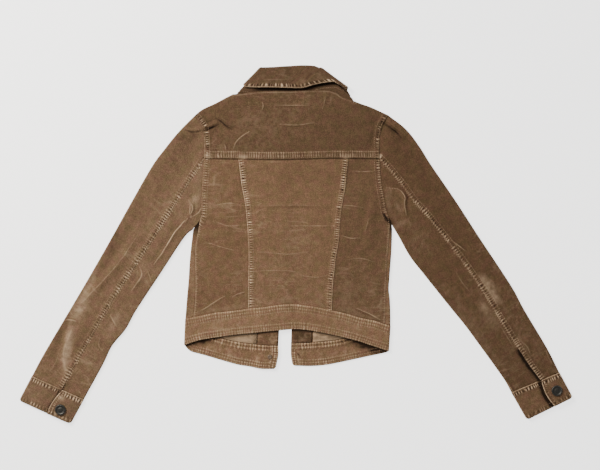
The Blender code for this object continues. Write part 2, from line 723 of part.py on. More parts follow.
def collar_fold(side, base, top, fall, neck):
    """Sections round the fold at one side of the neck, from the back to the front."""
    turned = 1 if side == "left" else -1
    outward = None
    for start in (base, fall):
        axis = (top - start) / np.linalg.norm(top - start)
        normal = np.array([-axis[1], axis[0]]) * turned
        if outward is None or (start - top) @ outward > 0:
            outward = normal
    inset = COLLAR_RADIUS + ROLL_RADIUS + DOUBLED / 2
    back_base = inset_point(neck[::turned], top, outward, inset)
    front_base = inset_point(smooth(TORSO[side]["front_neck"]), top, outward, inset)
    up = (top - base) / np.linalg.norm(top - base)
    fall = fall + outward * ((top - fall) @ outward)
    sections = []
    for turn in np.radians(COLLAR_FOLD_TURNS):
        low = blend(back_base, front_base, [(1 - math.cos(turn)) / 2])[0]
        low = low + up * (COLLAR_FOLD_INSET * math.sin(turn))
        sections.append((low, top - outward * inset, fall - outward * inset, outward,
                         turn))
    return sections


def collar_stations():
    """Sections of the collar: base, roll and edge points, outward side and turn.

    The turn is 0 on the back, half a turn on the front ends under the fronts, and
    goes from one to the other round the fold at each side of the neck.
    """
    neck, roll, edge = smooth(NECKLINE), smooth(ROLL_LINE), smooth(FALL_EDGE)
    parts = {}
    for side, front in COLLAR_FRONT.items():
        corner = 0 if side == "left" else -1
        parts[side] = collar_fold(side, neck[corner], roll[corner], edge[corner], neck)
        for f in even(COLLAR_FRONT_ROWS)[1:]:
            low, top, fall = (along(smooth(rows), [f])[0] for rows in (
                TORSO[side]["front_neck"], front["roll"], front["edge"]))
            up = (top - low) / np.linalg.norm(top - low)
            parts[side].append((low + up * COLLAR_FRONT_INSET, top, fall, np.zeros(2),
                                math.pi))
    back = []
    for f in even(COLLAR_BACK_ROWS)[1:-1]:
        clear_of_folds = 0.5 + (f - 0.5) * COLLAR_BACK_SHARE
        back.append((along(neck, [f])[0], along(roll, [clear_of_folds])[0],
                     along(edge, [clear_of_folds])[0], np.zeros(2), 0.0))
    return parts["left"][::-1] + back + parts["right"]


def collar(finish):
    """Doubled strip folded at its roll line, its fall outside, round the neck."""
    bends = np.radians([45, 90, 135])
    straight = np.full(COLLAR_COLUMNS + 1, ROLL_RADIUS)
    offset = np.concatenate([-straight, -ROLL_RADIUS * np.cos(bends), straight])
    reach = COLLAR_RADIUS + offset
    rows = []
    for base, roll, edge, outward, turn in collar_stations():
        up = (roll - base) / np.linalg.norm(roll - base)
        back = (edge - roll) / np.linalg.norm(edge - roll)
        centre = roll - up * ROLL_RADIUS
        fall = roll + back * ROLL_RADIUS
        plan = np.vstack([blend(base, centre, even(COLLAR_COLUMNS)),
                          centre + np.outer(np.sin(bends), up) * ROLL_RADIUS,
                          blend(fall, edge, even(COLLAR_COLUMNS))])
        plan = plan + np.outer(reach * math.sin(turn), outward)
        sag = (lift(base[None], True)[0] - COLLAR_LIFT) * max(math.cos(turn), 0)
        z = COLLAR_MIDDLE + sag + reach * math.cos(turn)
        rows.append(np.column_stack([plan, z]))
    cloth("collar", [np.array(rows)], DOUBLED, finish, 4 * GAP)


def button(name, x, y, z, radius, height, finish, faces_down=False):
    """Metal shank button: a turned cap with a raised rim and a low middle."""
    mesh = bpy.data.meshes.new(name)
    verts = [(r * radius * MM, 0, h * height * MM) for r, h in BUTTON_PROFILE]
    mesh.from_pydata(verts, [(k, k + 1) for k in range(len(verts) - 1)], [])
    obj = place(bpy.data.objects.new(name, mesh), finish)
    turned = obj.modifiers.new("turned", "SCREW")
    turned.steps = turned.render_steps = BUTTON_STEPS
    turned.use_merge_vertices = True
    turned.merge_threshold = 0.00001
    turned.use_normal_calculate = True
    obj.location = (x * MM, y * MM, z * MM)
    if faces_down:
        obj.rotation_euler = (math.pi, 0, 0)


def buttons(finish):
    """Cuff buttons and tack back on top, front buttons under the left front."""
    for side, sleeve in SLEEVES.items():
        x, y = sleeve_points(side, [sleeve["button"]])[0]
        z = CUFF_TAB + DOUBLED / 2 + GAP
        button("cuff_button_" + side, x, y, z, CUFF_BUTTON_RADIUS,
               CUFF_BUTTON_THICKNESS, finish)
    torso = TORSO["left"]
    edge = np.vstack([smooth(torso["front_edge"]), smooth(torso["band_end"])[1:]])[::-1]
    places = [("front_button_%d" % (k + 1), y) for k, y in enumerate(FRONT_BUTTONS)]
    for name, y in places + [("waistband_button", BAND_BUTTON)]:
        x = np.interp(y, edge[:, 1], edge[:, 0]) - BUTTON_FROM_EDGE
        button(name, x, y, BUTTON_THICKNESS, BUTTON_RADIUS, BUTTON_THICKNESS, finish,
               faces_down=True)
    z = BAND_LOW + BUTTON_LIFT + DOUBLED / 2 + GAP
    button("waistband_button_tack", x, y, z, TACK_RADIUS, TACK_THICKNESS, finish)


def centre_on_surface():
    """Move all pieces so that the jacket's box is centred, with its base at zero."""
    pieces = list(bpy.data.collections[COLLECTION].objects)
    bpy.context.view_layer.update()
    depsgraph = bpy.context.evaluated_depsgraph_get()
    points = []
    for piece in pieces:
        seen = piece.evaluated_get(depsgraph)
        points += [seen.matrix_world @ vert.co for vert in seen.data.vertices]
    points = np.array(points)
    low, high = points.min(0), points.max(0)
    for piece in pieces:
        piece.location.x -= (low[0] + high[0]) / 2
        piece.location.y -= (low[1] + high[1]) / 2
        piece.location.z -= low[2]


def build():
    clear_scene()
    bpy.context.scene.collection.children.link(bpy.data.collections.new(COLLECTION))
    brown = material("corduroy", (0.205, 0.118, 0.066), 0.92)
    worn = material("corduroy_bands", (0.180, 0.102, 0.056), 0.92)
    twill = material("pocket_twill", (0.480, 0.360, 0.235), 0.85)
    metal = material("dark_metal", (0.060, 0.048, 0.040), 0.40, 1.0)
    back_yoke(brown)
    back_panels(brown)
    for side in TORSO:
        front(side, brown, twill)
        sleeve(side, brown)
        cuff(side, worn)
    waistband(worn)
    collar(worn)
    buttons(metal)
    centre_on_surface()


build()
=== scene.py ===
"""Finished look of the corduroy jacket, laid flat with its back up.

The tables are those of the part's source, with a closer fit of the cuffs and the collar:
millimetres, X across the garment, Y from its hem to its collar and Z up. Each piece is
made again from them as fine cloth with seams, puckers, creases and wear, and stands for
the solid of the same name.
"""
import functools
import math

import bmesh
import bpy
import numpy as np
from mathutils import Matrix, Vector
from mathutils.bvhtree import BVHTree


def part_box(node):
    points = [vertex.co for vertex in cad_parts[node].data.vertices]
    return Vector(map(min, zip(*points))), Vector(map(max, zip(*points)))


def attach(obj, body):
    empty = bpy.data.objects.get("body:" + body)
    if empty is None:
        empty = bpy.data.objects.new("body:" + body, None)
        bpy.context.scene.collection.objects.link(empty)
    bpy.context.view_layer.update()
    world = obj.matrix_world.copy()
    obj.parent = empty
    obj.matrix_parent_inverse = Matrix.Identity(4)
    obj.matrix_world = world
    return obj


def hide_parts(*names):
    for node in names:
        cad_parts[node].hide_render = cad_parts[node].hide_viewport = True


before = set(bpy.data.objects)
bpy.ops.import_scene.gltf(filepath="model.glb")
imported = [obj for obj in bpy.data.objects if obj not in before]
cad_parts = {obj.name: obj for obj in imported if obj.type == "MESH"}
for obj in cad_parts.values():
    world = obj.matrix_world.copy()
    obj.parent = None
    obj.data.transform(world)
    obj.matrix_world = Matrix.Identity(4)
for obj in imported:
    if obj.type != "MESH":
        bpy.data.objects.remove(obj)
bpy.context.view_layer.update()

MM = 0.001

# Thickness of each kind of cloth, and how far pieces run under or over each other
CLOTH = 1.2
DOUBLED = 2.0
LINING = 1.0
GAP = 0.3
OVERLAP = 0.6

# Heights of the middle of each layer above the surface
LOW_LAYER = CLOTH / 2
TOP_LAYER = 4.0
BAND_LOW = DOUBLED / 2
BAND_TOP = 4.6
CUFF_TOP = 4.4
CUFF_TAB = 6.75

# Distances from a fold and from a seam where the cloth is sampled
FOLD_STEPS = (0.2, 0.6, 1.2, 2.0, 3.0)
SEAM_STEPS = (0.5, 1.2, 2.2, 3.4, 4.6, 5.8, 7.0, 8.2, 9.4, 10.6, 12.0)

# Rows and columns of the pieces, a little over a millimetre apart where seams show
SLEEVE_ROWS = 470
UPPER_COLUMNS = 28
UNDER_COLUMNS = 18
YOKE_ROWS = 60
ARMHOLE_ROWS = 120
FRONT_ARMHOLE_ROWS = 24
FRONT_NECK_ROWS = 12
SIDE_ROWS = 136
WING_COLUMNS = 60
MIDDLE_COLUMNS = 44
YOKE_MIDDLE_COLUMNS = 190
FRONT_COLUMNS = 12
BAND_COLUMNS = 360
FRONT_BAND_COLUMNS = 150
BAND_ROWS = 34
CUFF_COLUMNS = 90
CUFF_LOW_COLUMNS = 30
COLLAR_BACK_ROWS = 30
COLLAR_BACK_SKIP = 3
COLLAR_FRONT_ROWS = 12
COLLAR_FOLD_TURNS = tuple(range(0, 181, 12))
COLLAR_COLUMNS = 22
COLLAR_BENDS = tuple(range(20, 180, 20))
COLLAR_ROW_STEP = 1.3
LOW_COLUMNS = 4
WING_MIDDLE_COLUMNS = 20
BUTTON_SIDES = 48

# Heights from which stitches are dropped on the back and into the hem opening, where a
# row of them starts, their length, and how far one may climb
TOP_CAST = 40.0
LOW_CAST = 2.95
FIRST_STITCH = 1.5
STITCH_LENGTH = 3.0
STEEPEST_STITCH = 1.5
THREAD_SIDES = 4

# Rings of a stitch: share of its length, rise and thickness in thread radii
THREAD_RINGS = [(0.0, -0.9, 0.5), (0.2, 0.3, 1.0), (0.8, 0.3, 1.0), (1.0, -0.9, 0.5)]

# Profiles from back to face, as shares of radius and height
BUTTON_PROFILE = [(0, 0), (0.86, 0), (0.97, 0.2), (1.0, 0.45), (0.97, 0.75), (0.9, 0.95),
    (0.82, 1.0), (0.75, 0.92), (0.7, 0.7), (0.6, 0.62), (0.42, 0.62), (0.36, 0.72),
    (0.28, 0.78), (0.15, 0.8), (0, 0.8)]
TACK_PROFILE = [(0, 0), (0.9, 0), (1.0, 0.3), (0.95, 0.7), (0.8, 0.95), (0.6, 1.0),
    (0.5, 0.85), (0.2, 0.8), (0, 0.8)]

# Colours of the finishes, and the pitch of their ribs in millimetres
BROWN = (0.182, 0.108, 0.062)
# PALE is mixed in for rubbed wear and painted highlights, DARK for painted shade and for
# cloth that varies darker at random
PALE = (0.60, 0.43, 0.28)
DARK = (0.022, 0.012, 0.007)
TWILL = (0.40, 0.27, 0.165)
THREAD = (0.34, 0.225, 0.14)
SHEEN = (0.75, 0.6, 0.45, 1)
METAL = (0.07, 0.068, 0.062)
TACK_METAL = (0.20, 0.14, 0.10)
WALE_PITCH = 1.25
TWILL_PITCH = 0.9

# The two hues between which the cloth varies, as shares of its brown
HUES = ((1.08, 0.97, 1.04), (0.94, 1.03, 0.9))

# How light and how red each piece is; the pieces on the right are darker than those on the
# left, as painted shade for light that falls off from the left
TONES = {
    "yoke": (0.57, 1.0),
    "middle": (0.93, 1.0),
    "side_left": (0.82, 1.01),
    "side_right": (0.71, 1.0),
    "front": (0.9, 1.0),
    "facing_left": (0.8, 1.0),
    "facing_right": (0.55, 1.0),
    "sleeve_left": (0.88, 0.97),
    "sleeve_right": (0.6, 1.02),
    "cuff_left": (0.95, 0.95),
    "cuff_right": (0.85, 1.0),
    "band": (1.1, 1.0),
    "collar": (0.5, 1.0),
}

# Photograph: frame in pixels, millimetres for a pixel, and the pixel at the tables' zero
PHOTO_WIDTH, PHOTO_HEIGHT = 600, 470
PIXEL = 1.85
ZERO_PIXEL = (296, 245.25)

# Camera and lights, in metres; the floor lies just under the jacket's lowest fibres
CAMERA_HEIGHT = 2.4
SENSOR = 36.0
FLOOR_HALF = 6.0
FLOOR_DROP = -0.0002
FLOOR_COLOUR = (0.9, 0.9, 0.9, 1)
FLOOR_GLOW = 2.2
WORLD_LIGHT = 0.42
WORLD_COLOUR = (1.0, 0.985, 0.96, 1)
KEY_PLACE = (-1.35, 1.15, 1.35)
KEY_SIZE = 1.0
KEY_POWER = 72.0
KEY_COLOUR = (1.0, 0.95, 0.88)

# Share of a sleeve's length over which the armhole's curve fades out
HEAD_OF_SLEEVE = 0.35

# Facings and pocket bags lie inside the fronts: distances from the front edge, shares
# of the front that a bag leaves free or covers, how far their edges stand back, and
# the height of their crumples
FACING_STEPS = tuple(range(3, 40, 3))
FACING_STEPS_AT_SHOULDER = tuple(range(1, 14))
BAG_START = 1 / 3
BAG_HEIGHT = 3 / 4
LINING_INSET = 2.4
CRUMPLE = 1.2

# How far cloth above the collar's ends and the buttons stays up, and where it is down
LIFT_NARROW = (16, 40)
LIFT_WIDE = (20, 65)
BUTTON_LIFT_NARROW = (16, 30)
BUTTON_LIFT_WIDE = (18, 50)

# Where sleeve and side part below the armhole, both seams stand back a little
UNDERARM_REACH = 12.0
UNDERARM_PUSH = 2.8

# Painted shade under the back's hem and on the strips beside the armpits, and where it ends
HEM_SHADE = 0.9
HEM_SHADE_ENDS = (1.5, 6)
STRIP_SHADE = 1.7
STRIP_SHADE_ENDS = (6, 42)

# Seams that turn to the underside, measured from the fold
SHOULDER_SEAM = 18.0
UNDERARM_SEAM = 18.0

# Spans of a sleeve: the curves where it starts and ends, how its points are spaced
# there, and its columns
SLEEVE_SPANS = {
    "yoke": (0, 1, FOLD_STEPS, SEAM_STEPS, UPPER_COLUMNS),
    "side": (1, 2, SEAM_STEPS, FOLD_STEPS, UNDER_COLUMNS),
    "front": (0, 2, FOLD_STEPS, FOLD_STEPS + (UNDERARM_SEAM,), LOW_COLUMNS),
}

# Torso curves, rows of x, y
NECKLINE = [(-117, 278), (-91, 281), (-63, 284), (-11, 285), (41, 286), (63, 285),
    (76, 280), (85, 274), (111, 264)]
YOKE_SEAM = [(-169, 160), (-104, 159), (-57, 158), (-11, 158), (63, 160), (154, 160)]
BAND_SEAM = [(-204, -136), (-178, -131), (-150, -125), (-122, -122), (-85, -117),
    (-57, -114), (-30, -110), (-2, -109), (13, -111), (35, -114), (63, -120), (91, -126),
    (118, -134), (146, -140), (174, -149)]
BACK_HEM = [(-206, -184), (-178, -175), (-141, -169), (-113, -165), (-85, -162),
    (-57, -159), (-33, -157), (-11, -155), (7, -155), (26, -157), (63, -164), (109, -175),
    (137, -184), (171, -195)]

# One entry for each side of the torso: curves as rows of x, y, from top to bottom
TORSO = {
    "left": {
        "armhole_seams": ("shoulder_lap", "armhole_lap"),
        "shoulder": [(-188, 238), (-179, 246), (-168, 253), (-150, 261), (-131, 271),
            (-117, 278)],
        "armhole_yoke": [(-188, 238), (-179, 228), (-171, 215), (-169, 185), (-169, 160)],
        "armhole_side": [(-169, 160), (-172, 121), (-174, 84), (-176, 52), (-189, 31)],
        "armhole_front": [(-188, 238), (-176, 222), (-162, 200), (-156, 170), (-158, 135),
            (-164, 100), (-174, 60), (-189, 31)],
        "side_seam": [(-180, 28), (-185, 0), (-186, -24), (-185, -64), (-186, -101)],
        "side_seam_end": -189,
        "side_seam_start": 24.0,
        "side_fold": [(-189, 31), (-193, 0), (-196, -31), (-198, -64), (-201, -98),
            (-204, -136)],
        "princess": [(-103, 136), (-100, 111), (-95, 84), (-92, 62), (-88, 10), (-87, -27),
            (-88, -64)],
        "princess_ends": (-106, -88),
        "front_neck": [(-117, 278), (-111, 254), (-96, 228), (-72, 208), (-44, 193),
            (-31, 190)],
        "front_edge": [(-31, 190), (-32, 80), (-31, -40), (-30, -120), (-33, -186)],
        "band_end": [(-33, -186), (-33, -203), (-38, -227)],
        "front_band_seam": [(-204, -136), (-168, -160), (-141, -171), (-110, -179),
            (-70, -184), (-33, -186)],
        "front_hem": [(-206, -184), (-197, -194), (-187, -198), (-168, -203), (-141, -211),
            (-109, -220), (-85, -224), (-63, -228), (-38, -228)],
    },
    "right": {
        "armhole_seams": ("shoulder_soft", "armhole_soft"),
        "shoulder": [(170, 240), (155, 247), (137, 255), (122, 260), (111, 264)],
        "armhole_yoke": [(170, 240), (163, 228), (157, 213), (154, 191), (154, 160)],
        "armhole_side": [(154, 160), (155, 139), (158, 111), (163, 84), (167, 62),
            (176, 41)],
        "armhole_front": [(170, 240), (160, 222), (147, 200), (141, 170), (143, 135),
            (151, 100), (162, 65), (176, 41)],
        "side_seam": [(172, 19), (168, -31), (166, -74), (165, -101)],
        "side_seam_end": 164,
        "side_seam_start": 6.0,
        "side_fold": [(176, 41), (177, 25), (176, -9), (174, -37), (172, -64), (171, -82),
            (173, -101), (174, -129), (174, -149)],
        "princess": [(93, 130), (90, 102), (85, 74), (81, 43), (79, 10), (74, -20),
            (71, -46), (68, -74)],
        "princess_ends": (96, 66),
        "front_neck": [(111, 264), (106, 242), (92, 220), (67, 203), (32, 191), (-6, 188)],
        "front_edge": [(-6, 188), (-5, 80), (-6, -40), (-7, -120), (-9, -182)],
        "band_end": [(-9, -182), (-9, -203), (-6, -222)],
        "front_band_seam": [(174, -149), (128, -160), (91, -172), (63, -177), (30, -180),
            (-9, -182)],
        "front_hem": [(171, -195), (165, -198), (137, -204), (109, -210), (81, -216),
            (54, -221), (26, -223), (-6, -222)],
    },
}

# Sleeves: across is measured from the line between shoulder and cuff towards the body.
# Curves are rows of along, across; the tab is where the cuff's upper end lies.
SLEEVES = {
    "left": {
        "direction": -121.95,
        "towards_body": 1,
        "outer": [(0, 0), (40, -9), (80, -14), (120, -17), (200, -14), (280, -10),
            (360, -7), (440, -5), (520, -3), (565, 0)],
        "back_seam": [(120, 56), (200, 56), (280, 54), (360, 52), (440, 54), (500, 56),
            (557, 59)],
        "inner": [(200, 102), (280, 100), (360, 98), (400, 100), (440, 95), (480, 99),
            (551, 103)],
        "hem": [(616.5, 4), (603, 106)],
        "tab": ((557, 61.5), (611, 60.5)),
        "tab_runs": 1,
        "tab_bow": 3.5,
        "button": (589.5, 77.4),
        "vent": 0.98,
        "gap": "gap",
    },
    "right": {
        "direction": -56.37,
        "towards_body": -1,
        "outer": [(0, 0), (40, -13), (80, -16), (120, -15), (200, -16), (280, -15),
            (360, -15), (400, -14), (440, -10), (520, -6), (570, 0)],
        "back_seam": [(80, 54), (120, 50), (160, 48), (200, 42), (280, 36), (360, 34),
            (440, 37), (520, 38), (563, 36)],
        "inner": [(200, 107), (240, 110), (280, 107), (360, 100), (400, 96), (440, 94),
            (520, 91), (552, 93)],
        "hem": [(622.5, 5), (611, 97)],
        "tab": ((563, 35), (617, 42)),
        "tab_runs": -1,
        "tab_bow": 5.0,
        "button": (595.1, 22.6),
        "vent": 0.87,
        "gap": "wide_gap",
    },
}
CUFF_UNDERLAP = 28.0
CUFF_CORNER = 4.5
BAND_CORNER = 4.0

# Collar: the roll line and the fall's edge on the back, and each front end
ROLL_LINE = [(-69, 325), (-59, 327), (-39, 328), (-11, 330), (16, 331), (37, 329.5),
    (50, 325.5)]
FALL_EDGE = [(-98, 293), (-80, 290), (-52, 290), (-11, 289), (13, 289), (31, 294),
    (50, 298), (65, 300), (76, 299.5), (86, 294.5), (99, 290.5)]
COLLAR_FRONT = {
    "left": {
        "roll": [(-69, 325), (-59, 287), (-52, 258), (-41, 228), (-31, 202)],
        "edge": [(-98, 293), (-105, 269), (-107, 243), (-96, 208), (-74, 158)],
    },
    "right": {
        "roll": [(50, 325.5), (49, 280), (41, 250), (20, 222), (-6, 200)],
        "edge": [(99, 290.5), (102, 264), (100, 236), (82, 200), (52, 152)],
    },
}

# Form of the collar: heights, radii, insets, where it is lifted, and where painted shadow
# darkens the stand under the fall
COLLAR_MIDDLE = 5.7
COLLAR_MIDDLE_X = 8.0
COLLAR_SHADED = (72, 98)
SHADE_BELOW_FALL = (3.0, 6.0)
COLLAR_RADIUS = 3.1
ROLL_RADIUS = 1.6
COLLAR_LIFT = 2.6
COLLAR_BACK_SHARE = 0.9
COLLAR_CORNER = 4.0
COLLAR_FOLD_INSET = 9.0
COLLAR_TOP_RISE = 6.0
COLLAR_TOP_OUT = 0.45
COLLAR_UNDER_YOKE = 1.5
COLLAR_TIP = 3.0
FALL_LIFT = 2.4
FALL_LIFT_REACH = 26
FALL_ENDS = (30, 40)
STAND_SHADE = 1.4
COLLAR_CREASED = 0.6
COLLAR_FRONT_INSET = 2.5

# Buttons under the left front lift the cloth above them
BUTTON_FROM_EDGE = 15.0
BUTTON_LIFT = 2.4
BUTTON_LIFT_FADE = (160, 200)

# Kinds of seam: how far the edge is raised, height of its puckers, how far they reach,
# lines of wear and painted shade beside it, and distances of its rows of stitches. A line
# is a distance, its width, its steady wear and the wear of the puckers that cross it;
# below 0 the wear darkens, and in the under, soft_under, gap and wide_gap kinds it is
# painted shade beneath an edge that laps over or in an open gap.
SEAM_KINDS = {
    "lap": (0.7, 0.6, 8.5, ((0.5, 0.9, 0.7, 0.15), (1.9, 0.6, -0.3, 0.0),
        (4.3, 1.9, 0.2, 1.0), (8.2, 1.3, 0.1, 0.35)), (2.2, 8.8)),
    "yoke_lap": (0.9, 0.5, 12.5, ((0.3, 1.0, -0.1, 0.0), (3.0, 0.8, 0.3, 0.2),
        (6.2, 2.6, 0.3, 0.2), (9.8, 1.6, 0.1, 0.12), (13.0, 0.9, 0.45, 0.2)), (2.8, 13.0)),
    "shoulder_lap": (0.8, 0.6, 9.5, ((0.5, 1.0, 0.45, 0.0), (1.8, 0.6, -0.3, 0.0),
        (5.2, 2.6, 0.15, 0.75), (9.4, 0.9, 0.2, 0.1)), (2.4, 9.4)),
    "shoulder_soft": (0.8, 0.6, 9.5, ((0.5, 0.9, 0.3, 0.0), (3.8, 2.4, -0.04, 0.6),
        (9.4, 0.9, 0.05, 0.05)), (2.4, 9.4)),
    "armhole_lap": (0.5, 0.5, 9.5, ((0.5, 1.0, 0.2, 0.1), (4.6, 2.0, 0.1, 0.5),
        (9.5, 1.0, 0.08, 0.2)), (2.4, 9.4)),
    "armhole_soft": (0.5, 0.5, 9.5, ((0.5, 0.9, 0.3, 0.1), (3.6, 2.2, -0.04, 0.5),
        (9.5, 1.0, 0.03, 0.05)), (2.4, 9.4)),
    "side": (0.15, 0.15, 3.0, ((0.6, 0.9, 0.35, 0.05), (2.6, 0.8, 0.0, 0.3)), (2.4,)),
    # painted shadow: a dark line beneath an edge that laps over
    "under": (0.0, 0.2, 5.0, ((0.6, 1.0, -0.6, 0.0),), ()),
    "sleeve_lap": (0.7, 0.6, 8.5, ((0.5, 0.8, 0.65, 0.1), (2.8, 1.9, 0.0, 0.85),
        (7.6, 1.3, 0.1, 0.3)), (2.0, 8.0)),
    "sleeve_under": (0.0, 0.3, 5.0, ((0.8, 1.7, 0.32, 0.55),), ()),
    # painted shade: a soft dark line beneath an edge, and dark gaps beside an open edge
    "soft_under": (0.0, 0.1, 5.0, ((0.6, 1.0, -0.15, 0.0), (6.0, 5.0, 0.06, 0.0)), ()),
    "gap": (0.0, 0.0, 5.0, ((1.0, 2.2, -1.3, 0.0), (6.0, 5.0, -0.25, 0.0)), ()),
    "wide_gap": (0.0, 0.0, 5.0, ((2.2, 4.6, -1.9, 0.0),), ()),
    "neck": (0.0, 0.1, 3.0, ((2.2, 0.8, 0.4, 0.0),), ()),
    "band": (0.4, 0.3, 12.0, ((1.5, 1.1, 0.6, 0.3), (4.2, 0.9, -0.15, 0.2),
        (7.2, 1.0, 0.4, 0.4), (10.0, 1.0, -0.15, 0.2), (12.8, 0.9, 0.3, 0.25)),
        (7.2, 12.8)),
    "front_band": (0.4, 0.6, 12.0, ((1.4, 1.1, 0.75, 0.4), (4.4, 1.2, -0.45, 0.55),
        (8.0, 1.2, 0.65, 0.45), (11.0, 1.2, -0.35, 0.3)), (1.6, 8.0)),
    "cuff_band": (0.5, 0.6, 10.0, ((0.7, 1.1, 1.1, 0.0), (2.8, 0.9, -0.5, 0.2),
        (6.2, 2.6, 0.1, 1.0)), (2.4, 10.0)),
    "hem": (0.3, 0.3, 11.5, ((1.4, 1.0, 0.55, 0.35), (3.6, 0.8, -0.15, 0.2),
        (5.7, 1.0, 0.4, 0.45), (8.5, 0.9, -0.15, 0.2), (11.4, 0.9, 0.4, 0.2)), (5.5, 11.5)),
    "front_hem": (0.3, 0.4, 11.5, ((1.4, 1.0, 0.5, 0.35), (3.6, 0.8, -0.35, 0.2),
        (6.0, 1.2, 0.5, 0.5), (8.8, 0.9, -0.3, 0.1), (11.2, 1.0, 0.5, 0.25)), (5.5, 11.0)),
    "cuff_hem": (0.3, 0.4, 11.5, ((1.0, 1.0, 0.1, 0.2), (5.6, 2.6, 0.0, 0.5)), (2.6, 9.6)),
    "tab": (0.3, 0.4, 8.0, ((0.7, 1.0, 1.1, 0.0), (2.8, 0.9, -0.4, 0.2),
        (6.0, 1.5, 0.15, 0.6)), (6.4,)),
    "collar_edge": (0.4, 0.5, 8.5, ((1.3, 1.2, 0.95, 0.0), (3.2, 0.6, -0.2, 0.2),
        (5.6, 2.1, 0.02, 0.8)), (8.6,)),
}
PUCKER_PITCH = 4.4
PITCH_OF = {
    "cuff_band": 5.4,
    "cuff_hem": 6.6,
    "collar_edge": 6.4,
    "sleeve_lap": 4.9,
    "front_band": 5.4,
}
STITCH_PITCH = 3.6
THREAD_RADIUS = 0.27

# Seams that hold the cloth down, so that those which meet them flatten there
FLAT_SEAMS = ("under", "soft_under", "sleeve_under", "gap", "wide_gap")

# Form of a seam: the slope behind its ridge, its rounded edge, where its puckers start
# and how far they sink, how sharp they are, and how far stitches sink into it
SEAM_SLOPE = 3
EDGE_DIP = 0.45
NEEDLE_WIDTH = 0.8
PUCKER_START = (0.6, 2.2)
PUCKER_SINK = 0.3
PUCKER_SHARPNESS = 1.6
STITCH_SINK = 0.3

# Wear of a pucker: from its dark foot, painted shade between the puckers, to its rubbed
# crest
BAR_CONTRAST = 4.6
BAR_DARK = 1.8

# Ripples of the cloth: height, stretch across and along the wales, size and seed
RIPPLES = ((0.34, (1.0, 1.9), 31, 101), (0.13, (1.0, 1.7), 13, 102))

# Noises of the cloth's height and wear: strength, size and seed
TOP_RELIEF = ((0.1, 6, 103),)
TOP_WEAR = ((0.04, 45, 104), (0.06, 4, 105))
LOW_WEAR = ((0.1, 9, 112), (0.15, 4, 113))

# Fine wrinkles across the wales: how much of the cloth has them, and their form
WRINKLED_SHARE = 0.2
WRINKLE_STRETCH = (0.16, 1.0)
WRINKLE_BEND = 0.08
WRINKLE_SHARPNESS = 7
WRINKLE_HEIGHT = 0.15
WRINKLE_WEAR = 0.2

# Creases: how far they wander, their ends in shares of their width, and the share of
# their height, and of their wear as painted shade, that the trough beside them has
CREASE_WANDER = 0.7
CREASE_ENDS = 0.2
TROUGH = 0.5
